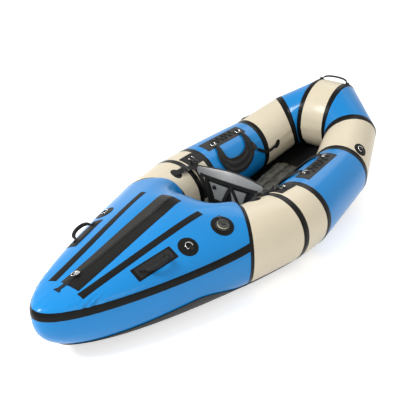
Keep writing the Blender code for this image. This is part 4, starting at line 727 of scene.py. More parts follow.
def build_tapes():
    """A tape over each seam ring, and the belt round the stern."""
    count = TAPE_ROWS + 1
    half_fan = len(FAN) - count
    sources = [(FAN[half_fan:], FAN_NORMALS[half_fan:])] + PANELS
    for number in range(6):
        before, before_normals = sources[number]
        after, after_normals = sources[number + 1]
        points = np.concatenate([before[-count:], after[1:count]])
        joint = unit(before_normals[-1] + after_normals[0])
        normals = np.concatenate([before_normals[-count:-1], joint[None], after_normals[1:count]])
        points[count - 1] += joint * SEAM_RISE
        top, bottom = tape_sides(points, normals, (len(points), 1, 1))
        name = "seam_tape_" + str(number + 1)
        piece = slab(name + "_starboard_strip", closed_row(top), closed_row(bottom), "tape", seam=True)
        mirrored(piece, name + "_{}_strip", "hull", "seam_tape", *([name + "_{}"] if number else []))
    across = np.linspace(-TAPE_HALF_WIDTH, TAPE_HALF_WIDTH, BELT_STEPS)
    rows, normals = [], []
    for points, out in zip(FAN, FAN_NORMALS):
        line, facing = (np.concatenate([values[-BELT_COLUMNS:], values[:BELT_COLUMNS + 1]])
                        for values in (points, out))
        lengths = row_lengths(line, 0)
        goals = lengths[BELT_COLUMNS] + across
        rows.append(along_line(goals, lengths, line))
        normals.append(unit(along_line(goals, lengths, facing)))
    top, bottom = tape_sides(np.array(rows), np.array(normals), (1, BELT_STEPS, 1))
    dressed(slab("stern_belt", top, bottom, "tape"), "hull", "seam_tape", "stern_belt_tape")


FLOOR_STERN_COLUMNS = 4 * FINE
FLOOR_SIDE_COLUMNS = 2 * FINE
FLOOR_STEPS = 17
FLOOR_MIDDLE = 12
FLOOR_WALL = 0.0022
FLOOR_DEPTH = 0.0022
FLOOR_LIFT = 0.0006
FLOOR_TOP_LIFT = FLOOR_LIFT + FLOOR_WALL * 0.8
FLOOR_BLEND_START = 0.62
FLOOR_BLEND_LENGTH = 0.33


def build_floor():
    """Black floor: flat under the cockpit and turned up along the underside of the tubes."""
    start = len(FAN) // 2
    rows = [(FAN[r], FAN_NORMALS[r], r - start) for r in range(start, len(FAN))]
    for points, normals in PANELS[:5]:
        rows += [(p, n, FAN_ROWS) for p, n in zip(points[1:], normals[1:])]
    points, normals = PANELS[5]
    rows += [(p, n, FAN_ROWS) for p, n in zip(points[1:TAPE_ROWS + 1], normals[1:TAPE_ROWS + 1])]
    tops, lows = [], []
    for points, normals, number in rows:
        past = np.clip((number / FAN_ROWS - FLOOR_BLEND_START) / FLOOR_BLEND_LENGTH, 0.0, 1.0)
        past = past * past * (3.0 - 2.0 * past)
        reach = FLOOR_STERN_COLUMNS + (FLOOR_SIDE_COLUMNS - FLOOR_STERN_COLUMNS) * past
        columns = 3 * QUARTER + np.linspace(reach, 0.0, FLOOR_STEPS)
        base = np.floor(columns).astype(int)
        part = (columns - base)[:, None]
        spot, normal = (part_way(values[base % COLUMNS], values[(base + 1) % COLUMNS], part)
                        for values in (points, normals))
        for store, depth, least in ((tops, FLOOR_DEPTH, FLOOR_TOP_LIFT),
                                    (lows, FLOOR_DEPTH + FLOOR_WALL, FLOOR_LIFT)):
            side = spot + unit(normal) * depth
            side[:, 2] = np.maximum(side[:, 2], least)
            shares = np.linspace(0.0, 1.0, FLOOR_MIDDLE + 2)[1:-1, None]
            middle = part_way(side[-1], side[-1] * FLIP, shares)
            store.append(np.concatenate([side, middle, side[::-1] * FLIP]))
    dressed(slab("floor_cloth", np.array(tops), np.array(lows), "floor"), "hull", "floor_fabric", "floor")


# Hull surface that the furniture is glued to


def surface_tree(grids):
    """Grids that wrap, as one surface for rays."""
    points, faces = [], []
    for grid in grids:
        rows, cols, _ = grid.shape
        faces += grid_faces(rows, cols, True, len(points))
        points += [tuple(p) for p in grid.reshape(-1, 3)]
    return BVHTree.FromPolygons(points, faces)


def cast(tree, point, direction):
    """Where a ray meets a surface, and the surface's normal on the side that the ray comes from."""
    spot, normal, _, _ = tree.ray_cast(Vector(point), Vector(direction))
    if normal.dot(Vector(direction)) > 0.0:
        normal = -normal
    return spot, normal


def axes_frame(spot, along, normal):
    """Frame at a point from its z axis and the direction nearest to its x axis."""
    z = Vector(normal).normalized()
    y = z.cross(Vector(along)).normalized()
    made = Matrix((y.cross(z), y, z)).transposed().to_4x4()
    made.translation = spot
    return made


def axle_frame(joint):
    """Frame on a hinge: its x axis is the axle, its z axis points away from the hull."""
    spot, axle = Vector(joint["pos_m"]), Vector(joint["axis"])
    _, normal = cast(HULL, spot + UP * 0.1, -UP)
    return axes_frame(spot, axle, axle.cross(normal.cross(axle)))


def moved(frame, x=0.0, y=0.0, z=0.0):
    return frame @ Matrix.Translation((x, y, z))


def axis_of(frame, number):
    """One axis of a frame, as a vector."""
    return frame.col[number].to_3d()


def panel_spot(panel, share, column):
    """Frame on a tube panel at a share of its length and a column of the frame's hull."""
    points, normals = PANELS[panel]
    low = int(math.floor(column * FINE))
    part = column * FINE - low
    row = share_row(points, share, low)
    a, b = (points[row, k % COLUMNS] for k in (low, low + 1))
    n = normals[row, low % COLUMNS]
    along = points[min(row + 1, len(points) - 1), low % COLUMNS] - points[max(row - 1, 0), low % COLUMNS]
    return axes_frame(Vector(part_way(a, b, part)), Vector(along), Vector(n))


def share_row(points, share, column):
    """The row nearest to a share of a panel's length."""
    line = points[:, column % COLUMNS]
    lengths = row_lengths(line, 0)
    return int(np.argmin(np.abs(lengths - share * lengths[-1])))


def route_spot(panel, share, column, height):
    """A point at a height over a tube panel, between its rows."""
    points, normals = PANELS[panel]
    low = int(math.floor(column * FINE))
    part = column * FINE - low
    made = []
    for k in (low, low + 1):
        line = points[:, k % COLUMNS] + normals[:, k % COLUMNS] * height
        lengths = row_lengths(points[:, k % COLUMNS], 0)
        made.append(along_line(share * lengths[-1], lengths, line))
    return part_way(*made, part)


CURVE_STEPS = 24


def curve_through(points, count):
    """Even points along a smooth curve through a few."""
    points = np.asarray([tuple(p) for p in points], float)
    padded = np.concatenate([2.0 * points[:1] - points[1:2], points, 2.0 * points[-1:] - points[-2:-1]])
    dense = []
    for k in range(1, len(padded) - 2):
        p0, p1, p2, p3 = padded[k - 1:k + 3]
        t = np.linspace(0.0, 1.0, CURVE_STEPS, endpoint=False)[:, None]
        dense.append(0.5 * (2.0 * p1 + (p2 - p0) * t + (2.0 * p0 - 5.0 * p1 + 4.0 * p2 - p3) * t**2
                            + (3.0 * p1 - p0 - 3.0 * p2 + p3) * t**3))
    dense = np.concatenate(dense + [padded[-2:-1]])
    lengths = row_lengths(dense, 0)
    return along_line(np.linspace(0.0, lengths[-1], count), lengths, dense)


def quad_flat(corners, rows, cols):
    """Grid between four corners, given round the edge."""
    a, b, c, d = (np.asarray(p, float) for p in corners)
    u, v = np.linspace(0.0, 1.0, rows)[:, None, None], np.linspace(0.0, 1.0, cols)[None, :, None]
    return part_way(part_way(a, b, v), part_way(d, c, v), u)


def rect_flat(half_x, half_y, rows=25, cols=13, corner=0.004):
    """Grid over a rectangle whose corners are cut a little round."""
    flat = quad_flat([(-half_x, -half_y), (-half_x, half_y), (half_x, half_y), (half_x, -half_y)], rows, cols)
    over_x = np.maximum(0.0, np.abs(flat[..., 0]) - (half_x - corner)) / corner
    over_y = np.maximum(0.0, np.abs(flat[..., 1]) - (half_y - corner)) / corner
    both = np.maximum(1e-9, np.hypot(over_x, over_y))
    shrink = np.where((over_x > 0.0) & (over_y > 0.0), np.maximum(over_x, over_y) / both, 1.0)
    keep_x = np.sign(flat[..., 0]) * (half_x - corner + corner * over_x * shrink)
    keep_y = np.sign(flat[..., 1]) * (half_y - corner + corner * over_y * shrink)
    flat[..., 0] = np.where(over_x > 0.0, keep_x, flat[..., 0])
    flat[..., 1] = np.where(over_y > 0.0, keep_y, flat[..., 1])
    return flat


def disc_flat(radius, rings=9, sides=48, inner=0.0):
    radii = inner + (radius - inner) * np.linspace(0.0, 1.0, rings)
    turns = 2.0 * math.pi * np.arange(sides) / sides
    return radii[:, None, None] * np.stack([np.cos(turns), np.sin(turns)], -1)[None]


GLUE_REACH = 0.06
GLUE_LIFT = 0.0002
PATCH_WALL = 0.0012
PATCH_EDGE = 0.45
WEB_WALL = 0.0007


def laid(frame, x, y):
    """Where a flat point of a frame falls on the hull, and the normal there."""
    return cast(HULL, frame @ Vector((x, y, GLUE_REACH)), -axis_of(frame, 2))


def glue(name, frame, flat, look, wall=PATCH_WALL, lift=GLUE_LIFT, wrap=False, profile=None):
    """Thin piece that lies on the hull: a flat grid in a frame, laid down along the frame's z axis."""
    rows, cols, _ = flat.shape
    top, bottom = np.zeros((rows, cols, 3)), np.zeros((rows, cols, 3))
    for r in range(rows):
        for c in range(cols):
            spot, normal = laid(frame, *flat[r, c])
            border = r == rows - 1 or (not wrap and (r == 0 or c in (0, cols - 1)))
            height = wall * (PATCH_EDGE if border else 1.0)
            if profile is not None:
                height += profile(flat[r, c])
            top[r, c], bottom[r, c] = spot + normal * (lift + height), spot + normal * (lift - UNDER_LIFT)
    return slab(name, top, bottom, look, wrap)


def band(name, points, ups, half_widths, look, count, half_wall=WEB_WALL, acrosses=None):
    """Webbing along a smooth curve: ups point away from its flat side."""
    shares = np.linspace(0, 1, count)
    widths = np.interp(shares, np.linspace(0, 1, len(half_widths)), half_widths)
    ups = rows_of(ups, 2)
    turned = unit(along_line(shares, np.linspace(0, 1, len(ups)), ups))
    return tube_mesh(name, curve_through(points, count), turned, lambda k: band_outline(widths[k], half_wall),
                     look, acrosses=acrosses)


def joined(name, pieces):
    """Several pieces as one, still separate bodies in one mesh."""
    build = bmesh.new()
    materials = []
    for piece in pieces:
        look = piece.data.materials[0]
        if look not in materials:
            materials.append(look)
        start = len(build.faces)
        build.from_mesh(piece.data)
        build.faces.ensure_lookup_table()
        for face in build.faces[start:]:
            face.material_index = materials.index(look)
    mesh = bpy.data.meshes.new(name)
    build.to_mesh(mesh)
    build.free()
    for look in materials:
        mesh.materials.append(look)
    for piece in pieces:
        bpy.data.objects.remove(piece, do_unlink=True)
    return placed(name, mesh)


# Stitches, teeth and other small repeated things, set along a path


def path_tree(name, shape):
    """Small pieces at an even pitch along the edges of a mesh."""
    tree = bpy.data.node_groups.new(name, "GeometryNodeTree")
    face = tree.interface
    face.new_socket("Path", in_out="INPUT", socket_type="NodeSocketGeometry")
    for label in ("Pitch", "Length", "Thickness"):
        face.new_socket(label, in_out="INPUT", socket_type="NodeSocketFloat")
    face.new_socket("Finish", in_out="INPUT", socket_type="NodeSocketMaterial")
    face.new_socket("Pieces", in_out="OUTPUT", socket_type="NodeSocketGeometry")
    given, result = add_node(tree, "NodeGroupInput").outputs, add_node(tree, "NodeGroupOutput").inputs
    curve = add_node(tree, "GeometryNodeMeshToCurve")
    spaced = add_node(tree, "GeometryNodeResampleCurve", mode="LENGTH")
    rod = add_node(tree, "GeometryNodeMeshCylinder", Vertices=6)
    align = add_node(tree, "FunctionNodeAlignRotationToVector", axis="Z")
    place = add_node(tree, "GeometryNodeInstanceOnPoints")
    real = add_node(tree, "GeometryNodeRealizeInstances")
    finish = add_node(tree, "GeometryNodeSetMaterial")
    direction = add_node(tree, "GeometryNodeInputTangent").outputs[0]
    if shape == "across":
        cross = add_node(tree, "ShaderNodeVectorMath", operation="CROSS_PRODUCT")
        cross.inputs[1].default_value = UP
        tree.links.new(direction, cross.inputs[0])
        direction = cross.outputs[0]
    for source, goal in (
            (given["Path"], curve.inputs["Mesh"]),
            (curve.outputs["Curve"], spaced.inputs["Curve"]),
            (given["Pitch"], spaced.inputs["Length"]),
            (math_of(tree, "MULTIPLY", given["Thickness"], 0.5), rod.inputs["Radius"]),
            (given["Length"], rod.inputs["Depth"]),
            (direction, align.inputs["Vector"]),
            (spaced.outputs["Curve"], place.inputs["Points"]),
            (rod.outputs["Mesh"], place.inputs["Instance"]),
            (align.outputs["Rotation"], place.inputs["Rotation"]),
            (place.outputs["Instances"], real.inputs["Geometry"]),
            (real.outputs["Geometry"], finish.inputs["Geometry"]),
            (given["Finish"], finish.inputs["Material"]),
            (finish.outputs["Geometry"], result["Pieces"])):
        tree.links.new(source, goal)
    return tree


TREES = {"along": path_tree("stitches", "along"), "across": path_tree("zip_teeth", "across")}


def repeated(name, paths, kind, pitch, length, thickness, look):
    """Stitches or teeth along several open paths, as one plain mesh."""
    points, edges = [], []
    for path in paths:
        start = len(points)
        points += [tuple(p) for p in path]
        edges += [(start + k, start + k + 1) for k in range(len(path) - 1)]
    mesh = bpy.data.meshes.new(name)
    mesh.from_pydata(points, edges, [])
    guide = placed(name + "_path", mesh)
    step = guide.modifiers.new("repeat", "NODES")
    step.node_group = TREES[kind]
    sizes = {"Pitch": pitch, "Length": length, "Thickness": thickness, "Finish": LOOKS[look]}
    for item in TREES[kind].interface.items_tree:
        if item.in_out == "INPUT" and item.name in sizes:
            step[item.identifier] = sizes[item.name]
    bpy.context.view_layer.update()
    graph = bpy.context.evaluated_depsgraph_get()
    made = bpy.data.meshes.new_from_object(guide.evaluated_get(graph))
    bpy.data.objects.remove(guide, do_unlink=True)
    made.name = name
    made.materials.clear()
    made.materials.append(LOOKS[look])
    made.polygons.foreach_set("material_index", [0] * len(made.polygons))
    made.shade_smooth()
    made.set_sharp_from_angle(angle=math.radians(SHARP_ANGLE_SMALL))
    return placed(name, made)


STITCH_PITCH = 0.0042
STITCH_LENGTH = 0.0030
STITCH_THICKNESS = 0.0009
STITCH_LIFT = 0.0004


def laid_path(frame, flat, height):
    """A path of flat points laid on the hull at a height over it."""
    return [spot + normal * height for spot, normal in (laid(frame, x, y) for x, y in flat)]


def between_points(points, step=0.004):
    """Flat points at small steps along an outline."""
    made = []
    for (x0, y0), (x1, y1) in zip(points, points[1:]):
        count = max(2, int(math.hypot(x1 - x0, y1 - y0) / step))
        made += [(x0 + (x1 - x0) * k / count, y0 + (y1 - y0) * k / count) for k in range(count)]
    return made + [points[-1]]


def threads_on(name, paths):
    """A line of stitches along each of several paths."""
    return repeated(name, paths, "along", STITCH_PITCH, STITCH_LENGTH, STITCH_THICKNESS, "thread")


def stitched(name, frame, outlines, height):
    """Lines of stitches along outlines laid on the hull."""
    return threads_on(name, [laid_path(frame, between_points(outline), height) for outline in outlines])


def box_outline(half_x, half_y, centre=(0.0, 0.0)):
    """Closed rectangle round a centre."""
    x, y = centre
    return [(x - half_x, y - half_y), (x + half_x, y - half_y), (x + half_x, y + half_y),
            (x - half_x, y + half_y), (x - half_x, y - half_y)]


# Metal rings and the webbing that keeps them

RING_WIRE = 0.0015
RING_HALF = 0.016
RING_DEPTH = 0.024
RING_BEND = 0.004
LACE_RING_BEND = 0.0045
BAR_HEIGHT = 0.0045
KEEPER_HALF = 0.009
KEEPER_TAIL = 0.014
KEEPER_CLEAR = 0.0004


def wire_ring(name, frame, flat, wire):
    """Closed wire through flat points of a frame."""
    spine = [frame @ Vector((x, y, 0.0)) for x, y in flat]
    return tube_mesh(name, spine, None, round_outline(wire, wire, 10), "metal", True,
                     acrosses=axis_of(frame, 2))


def d_ring(name, frame):
    """D-shaped wire ring, its bar on the frame's x axis."""
    half, bend = RING_HALF, RING_BEND
    bow = [(half * math.cos(v), RING_DEPTH * math.sin(v) ** 0.9) for v in np.linspace(0.0, math.pi, 25)]
    flat = bow[1:-1] + [(-half, bend / 2.0), (-half + bend * 0.35, 0.0)]
    flat += [(x, 0.0) for x in np.linspace(-half + bend, half - bend, 8)]
    flat += [(half - bend * 0.35, 0.0), (half, bend / 2.0)]
    return wire_ring(name, frame, flat, RING_WIRE)


def rect_ring(name, frame, half, depth, wire):
    """Rectangular wire ring with round corners, its bar on the x axis and its body towards -y."""
    bend = LACE_RING_BEND
    flat = []
    for cx, cy, start in ((half - bend, -bend, 0.0), (-half + bend, -bend, 90.0),
                          (-half + bend, -depth + bend, 180.0), (half - bend, -depth + bend, 270.0)):
        for k in range(6):
            v = math.radians(start + 18.0 * k)
            flat.append((cx + bend * math.cos(v), cy + bend * math.sin(v)))
    return wire_ring(name, frame, flat, wire)


def keeper(name, frame, bar_height=BAR_HEIGHT, bar_radius=RING_WIRE, half_width=KEEPER_HALF):
    """Short webbing folded round a bar on the x axis and sewn down on one side."""
    reach = bar_radius + WEB_WALL + KEEPER_CLEAR
    top = PATCH_WALL + 2.0 * WEB_WALL + GLUE_LIFT
    path = [(-KEEPER_TAIL, top), (-KEEPER_TAIL * 0.7, top), (-(reach + 0.0035), top + 0.0004)]
    for v in np.radians(np.linspace(150.0, -80.0, 14)):
        path.append((reach * math.cos(v), bar_height + reach * math.sin(v)))
    spine = [frame @ Vector((0.0, y, z)) for y, z in path]
    return tube_mesh(name, spine, None, band_outline(half_width, WEB_WALL), "webbing",
                     acrosses=axis_of(frame, 0))


# Loops of webbing that turn in two keepers

LOOP_PIN = 0.003
LOOP_KEEPER_HALF = 0.007
LOOP_KEEPER_SIDE = 0.016
LOOP_CLEAR = 0.003
LOOP_HALF_WIDTH = 0.0098
LOOP_HALF_WALL = 0.0082
LOOP_BAR_HEIGHT = 0.0057
LOOP_ROUND_POWER = 0.7


def kept_ring(name, bar):
    """D-ring on a bar's frame with the webbing that keeps it."""
    return [keeper(name + "_keeper", bar), d_ring(name + "_ring", moved(bar, 0.0, 0.0, BAR_HEIGHT))]


def web_loop(name, frame, half_span, height, lean, size=1.0, steps=40):
    """Webbing loop on a frame's x axis, rolled round at its two ends and flat over its crest."""
    tilt = math.radians(lean)
    rise = (axis_of(frame, 2) * math.cos(tilt) - axis_of(frame, 1) * math.sin(tilt)).normalized()
    along = axis_of(frame, 0)
    inner = half_span - LOOP_KEEPER_HALF - LOOP_CLEAR
    tip = half_span + LOOP_KEEPER_HALF / 2.0
    places = [(-tip, 0.0), (-tip * 0.97, 0.0)]
    places += [(-inner * math.cos(v), height * math.sin(v) ** LOOP_ROUND_POWER)
               for v in np.linspace(0.0, math.pi, steps)]
    places += [(tip * 0.97, 0.0), (tip, 0.0)]
    spine = [frame.translation + along * x + rise * z for x, z in places]

    def section(k):
        share = min(1.0, places[k][1] / height)
        half_width = LOOP_PIN + (LOOP_HALF_WIDTH * size - LOOP_PIN) * share
        half_wall = LOOP_PIN * 0.9 + (LOOP_HALF_WALL * size - LOOP_PIN * 0.9) * min(1.0, 1.6 * share)
        return round_outline(half_width, half_wall, 14)

    return tube_mesh(name, spine, None, section, "webbing", acrosses=along.cross(rise))


def loop_keeper(name, frame, x):
    """Sewn webbing tunnel over one end of a loop."""
    place = moved(frame, x)
    reach = LOOP_PIN + WEB_WALL + 0.0009
    low = PATCH_WALL + GLUE_LIFT + WEB_WALL
    side = LOOP_KEEPER_SIDE
    path = [(-side, low), (-side * 0.75, low), (-reach - 0.003, low + 0.0006)]
    path += [(-reach * math.cos(v), LOOP_BAR_HEIGHT + reach * math.sin(v))
             for v in np.linspace(0.25, 2.9, 11)]
    path += [(reach + 0.003, low + 0.0006), (side * 0.75, low), (side, low)]
    web = tube_mesh(name + "_web", [place @ Vector((0.0, y, z)) for y, z in path], None,
                    band_outline(LOOP_KEEPER_HALF, WEB_WALL), "webbing", acrosses=axis_of(place, 0))
    lines = [box_outline(LOOP_KEEPER_HALF * 0.7, 0.0035, (0.0, s * (side - 0.0048))) for s in (-1.0, 1.0)]
    return [web, stitched(name + "_threads", place, lines, low + 0.6 * WEB_WALL)]


# Moving pieces press the stern's surface a little, so that each one seats on it

ZIP_LINE_SLOPE = 0.17990
ZIP_LINE_DROP = 0.0052
ZIP_SEAT_ENDS = (-0.985, -0.41)
ZIP_SEAT_SIDE = 0.02
ZIP_REACH = 0.055
RING_SEAT = 0.0047
VALVE_REACH = 0.045
SEATING_REACH = 0.032
DECK_ABOVE = 0.7
PRESSING_PASSES = 6
PRESSING_SHARE = 0.7


def seating(joint, shift, height):
    """Where the hull's surface has to lie under a hinge: a spot, the normal there and its reach."""
    place = axle_frame(joint)
    return place @ Vector((shift, 0.0, -height)), axis_of(place, 2), SEATING_REACH


def pressed(goals):
    """Move the stern's surface gently until it passes through every goal."""
    for _ in range(PRESSING_PASSES):
        tree = surface_tree([FAN])
        for spot, normal, reach in goals:
            hit = tree.ray_cast(spot + normal * 0.05, -normal)[0]
            gap = (spot - hit).dot(normal)
            away = np.linalg.norm(FAN - np.asarray(tuple(spot)), axis=-1)
            push = gap * PRESSING_SHARE * np.exp(-(away / reach) ** 2)
            FAN[:] += np.asarray(tuple(normal)) * push[..., None]


# Cargo zip

ZIP_CORNERS = ((-1.006, -0.069), (-1.008, 0.024), (-0.380, 0.057), (-0.380, -0.048))
ZIP_RIDGE = 0.00035
ZIP_RIDGE_PITCH = 0.0042
ZIP_STRIP_HALF = 0.007
CHAIN_AFT_X = -0.985
CHAIN_FORE_X = -0.430
CHAIN_HALF = 0.0024
CHAIN_THICKNESS = 0.0013
TOOTH_PITCH = 0.0018
ZIP_LIP_GAP = 0.0016
ZIP_LIP_HALF = 0.0022
ZIP_CORE = 0.0007
TAB_HEIGHT = 0.0022
TAB_OVERLAP = 0.012
TAB_REACH = 0.046
TAB_WIDE = 0.0170
TAB_NECK = 0.0075


def build_zip():
    """Zip patch with two flaps, chain and end tab."""
    (ax, ay0), (_, ay1), (fx, fy1), (_, fy0) = ZIP_CORNERS

    def ridges(spot):
        if spot[1] < ZIP_STRIP_HALF:
            return 0.0
        return ZIP_RIDGE * (0.5 + 0.5 * math.sin(2.0 * math.pi * spot[1] / ZIP_RIDGE_PITCH))

    def side(low, high, name, look, columns):
        grid = quad_flat([(ax, low[0]), (ax, high[0]), (fx, high[1]), (fx, low[1])], 110, columns)
        return glue_down(name, grid, look, PATCH_WALL, ridges)

    def line_beside(y, start, end, count, height):
        xs = np.linspace(CHAIN_AFT_X + start, CHAIN_FORE_X + end, count)
        return sunk_path([(x, y) for x in xs], height)

    port = side((0.0001, 0.0001), (ay1, fy1), "zip_flap_port", "zip_light", 40)
    starboard = side((ay0, fy0), (-0.0001, -0.0001), "zip_flap_starboard", "patch", 12)
    seams, lips = [], []
    for s in (-1.0, 1.0):
        seams.append(line_beside(s * ZIP_STRIP_HALF * 1.25, -0.012, 0.02, 150, PATCH_WALL + STITCH_LIFT))
        spine = line_beside(s * (CHAIN_HALF + ZIP_LIP_GAP), -0.004, 0.006, 120, PATCH_WALL + 0.0006)
        lips.append(tube_mesh("zip_lip", spine, UP, band_outline(ZIP_LIP_HALF, 0.0007, 0.5), "patch"))
    cloth = joined("zip_patch_cloth", [port, starboard, threads_on("zip_seam_threads", seams)] + lips)
    dressed(cloth, "hull", "patch_rubber", "zip_patch")

    path = line_beside(0.0, 0.0, 0.0, 200, PATCH_WALL + 0.0009)
    teeth = repeated("zip_coil", [path], "across", TOOTH_PITCH, 2.0 * CHAIN_HALF, CHAIN_THICKNESS, "coil")
    cores = [tube_mesh("zip_core", [p + Vector((0.0, s * CHAIN_HALF, 0.0002)) for p in path], UP,
                       round_outline(ZIP_CORE, ZIP_CORE, 6), "coil") for s in (-0.55, 0.55)]
    stop = [path[-1] + Vector((-0.004, 0.0, 0.001)), path[-1] + Vector((0.006, 0.0, 0.0015))]
    knob = tube_mesh("zip_stop", stop, UP, round_outline(0.0035, 0.0022, 10), "plastic")
    dressed(joined("zip_chain_coil", [teeth, knob] + cores), "hull", "zip_chain", "zip_chain")

    start, end = ax + TAB_OVERLAP, ax - TAB_REACH
    rows = []
    for x in np.linspace(start, end, 40):
        middle = abs(2.0 * (start - x) / (start - end) - 1.0)
        half = TAB_NECK + (TAB_WIDE - TAB_NECK) * max(middle * 1.9 - 0.9, 0.0) ** 0.8
        half *= math.sqrt(max(0.05, 1.0 - max(0.0, (middle - 0.93) / 0.07) ** 2 * 0.5))
        rows.append([(x, half * v) for v in np.linspace(-1.0, 1.0, 11)])
    tab = glue_down("zip_end_tab", np.array(rows), "webbing", TAB_HEIGHT, None, PATCH_WALL)
    dressed(tab, "hull", "patch_rubber")


def sunk_path(flat, height):
    """Path over the deck, its heights evened out along the boat."""
    heights = [cast(HULL, (x, y, DECK_ABOVE), -UP)[0].z for x, y in flat]
    xs = np.array([x for x, _ in flat])
    middle = xs.mean()
    fit = np.polyfit(xs - middle, heights, 7)
    return [Vector((x, y, np.polyval(fit, x - middle) + height)) for x, y in flat]


def glue_down(name, grid, look, wall, profile=None, lift=GLUE_LIFT):
    """Thin piece laid straight down on the deck."""
    return glue(name, Matrix.Translation((0.0, 0.0, DECK_ABOVE)), grid, look, wall, lift, profile=profile)


SLIDER_X = -0.945
SLIDER_Z = 0.3059
SLIDER_HALF = (0.0105, 0.0085)
SLIDER_TOP = 0.0020
SLIDER_BRIDGE = ((-0.0065, 0.002), (-0.0060, 0.0062), (-0.0035, 0.0094), (0.0, 0.0102), (0.0035, 0.0094),
                 (0.0060, 0.0062), (0.0065, 0.002))
PULL_DROOP = -6.0
PULL_HALF = 0.0088
PULL_LENGTH = 0.027
PULL_POINT = 0.008
PULL_WIRE = 0.0013


def build_slider():
    """Zip slider with its bridge, and the pull ring."""
    along = Vector(JOINTS["zip_slide"]["axis"]).normalized()
    side = Vector((0.0, 1.0, 0.0))
    frame = axes_frame(Vector((SLIDER_X, 0.0, SLIDER_Z)), along, along.cross(side))
    half_x, half_y = SLIDER_HALF

    def plate(u):
        fore, aft = max(0.0, (u - 0.25) / 0.75), max(0.0, (-u - 0.6) / 0.4)
        return half_y * (1.0 - 0.30 * fore ** 1.5 - 0.12 * aft ** 2)

    us, vs = np.linspace(-1.0, 1.0, 19), np.linspace(-1.0, 1.0, 11)
    top, bottom = np.zeros((19, 11, 3)), np.zeros((19, 11, 3))
    for r, u in enumerate(us):
        for c, v in enumerate(vs):
            x, y = u * half_x, plate(u) * v
            crown = 0.0009 * (1.0 - u**4) * (1.0 - v**4)
            top[r, c] = frame @ Vector((x, y, SLIDER_TOP + crown))
            bottom[r, c] = frame @ Vector((x, y, 0.0004))
    body = slab("slider_plate", top, bottom, "metal")
    flanges = []
    for s in (-1.0, 1.0):
        spine = [frame @ Vector((u * half_x * 0.96, s * (plate(u) - 0.0006), -0.0004)) for u in us]
        flanges.append(tube_mesh("slider_flange", spine, axis_of(frame, 2), round_outline(0.0009, 0.0021, 8),
                                 "metal"))
    spine = curve_through([frame @ Vector((x, 0.0, z)) for x, z in SLIDER_BRIDGE], 30)
    bridge = tube_mesh("slider_bridge", spine, None, round_outline(0.0028, 0.0010, 10), "metal",
                       acrosses=axis_of(frame, 1))
    dressed(joined("zip_slider_body", [body, bridge] + flanges), "zip_slider", "bright_metal", "zip_slider")

    axle = Vector(JOINTS["zip_pull_turn"]["pos_m"])
    tilt = math.radians(PULL_DROOP)
    back = (-along * math.cos(tilt) - axis_of(frame, 2) * math.sin(tilt)).normalized()
    half, length, point = PULL_HALF, PULL_LENGTH, PULL_POINT
    flat = [(0.0, 0.0), (half, 0.0), (half, length - point), (half * 0.45, length), (-half * 0.45, length),
            (-half, length - point), (-half, 0.0)]
    spine = [axle + side * (x0 + (x1 - x0) * t) + back * (y0 + (y1 - y0) * t)
             for (x0, y0), (x1, y1) in zip(flat, flat[1:] + flat[:1]) for t in (0.12, 0.5, 0.88)]
    ring = tube_mesh("zip_pull_ring", spine, None, round_outline(PULL_WIRE, PULL_WIRE, 10), "metal", True,
                     acrosses=side.cross(back))
    dressed(ring, "zip_pull", "bright_metal", "zip_pull")


# Strips, D-rings, handles and valve on the stern deck

# Fore end and aft end, each as x, y and half width, and how far the aft corner is cut
STRIPS = {"starboard": ((-0.392, -0.158, 0.0140), (-1.019, -0.090, 0.0155), 0.0),
          "port": ((-0.394, 0.153, 0.0140), (-1.024, 0.060, 0.0155), 0.012)}
STRIP_WALL = 0.0011


def build_strips():
    for name, ((fx, fy, fh), (ax, ay, ah), cut) in STRIPS.items():
        corners = [(ax + cut, ay - ah), (ax, ay + ah), (fx, fy + fh), (fx, fy - fh)]
        piece = glue_down("deck_strip_cloth_" + name, quad_flat(corners, 130, 9), "patch", STRIP_WALL)
        dressed(piece, "hull", "patch_rubber", "deck_strip_" + name)


RING_PATCH = 0.0430


def build_stern_rings():
    frame = axle_frame(JOINTS["stern_ring_starboard_turn"])
    foot = moved(frame, 0.0, 0.0, -BAR_HEIGHT)
    disc = glue("stern_ring_disc", moved(foot, -0.004, 0.008), disc_flat(RING_PATCH), "patch", wrap=True)
    threads = stitched("stern_ring_threads", foot, [box_outline(0.0065, 0.003, (0.0, -0.0095))],
                       PATCH_WALL + 3.0 * WEB_WALL)
    anchor = joined("stern_ring_anchor_starboard", [disc, keeper("stern_ring_keeper", foot), threads])
    mirrored(anchor, "stern_ring_anchor_{}", "hull", "patch_rubber", "stern_ring_patch_{}")
    ring = d_ring("stern_ring_starboard_wire", frame)
    mirrored(ring, "stern_ring_{}_wire", "stern_ring_{}", "bright_metal", "stern_d_ring_{}")


HANDLE_HALF_SPAN = 0.062
HANDLE_RISE = 0.034
HANDLE_LEAN = 50.0
HANDLE_PATCH = (0.099, 0.030)


def build_handles():
    frame = axle_frame(JOINTS["handle_starboard_turn"])
    foot = moved(frame, 0.0, 0.0, -LOOP_BAR_HEIGHT)
    long, wide = HANDLE_PATCH
    parts = [glue("handle_cloth", foot, rect_flat(long, wide, 41, 13), "patch"),
             glue("handle_inner_cloth", foot, rect_flat(long - 0.014, wide - 0.008, 37, 9), "binding", 0.0009,
                  PATCH_WALL)]
    for side in (-1.0, 1.0):
        parts += loop_keeper("handle_keeper", foot, side * HANDLE_HALF_SPAN)
    parts.append(stitched("handle_threads", foot, [box_outline(long - 0.017, wide - 0.011)],
                          PATCH_WALL + 0.0013))
    base = joined("handle_base_starboard", parts)
    mirrored(base, "handle_base_{}", "hull", "patch_rubber", "handle_patch_{}")
    loop = web_loop("handle_loop_starboard", frame, HANDLE_HALF_SPAN, HANDLE_RISE, HANDLE_LEAN)
    mirrored(loop, "handle_loop_{}", "handle_{}", "black_webbing", "grab_handle_{}")


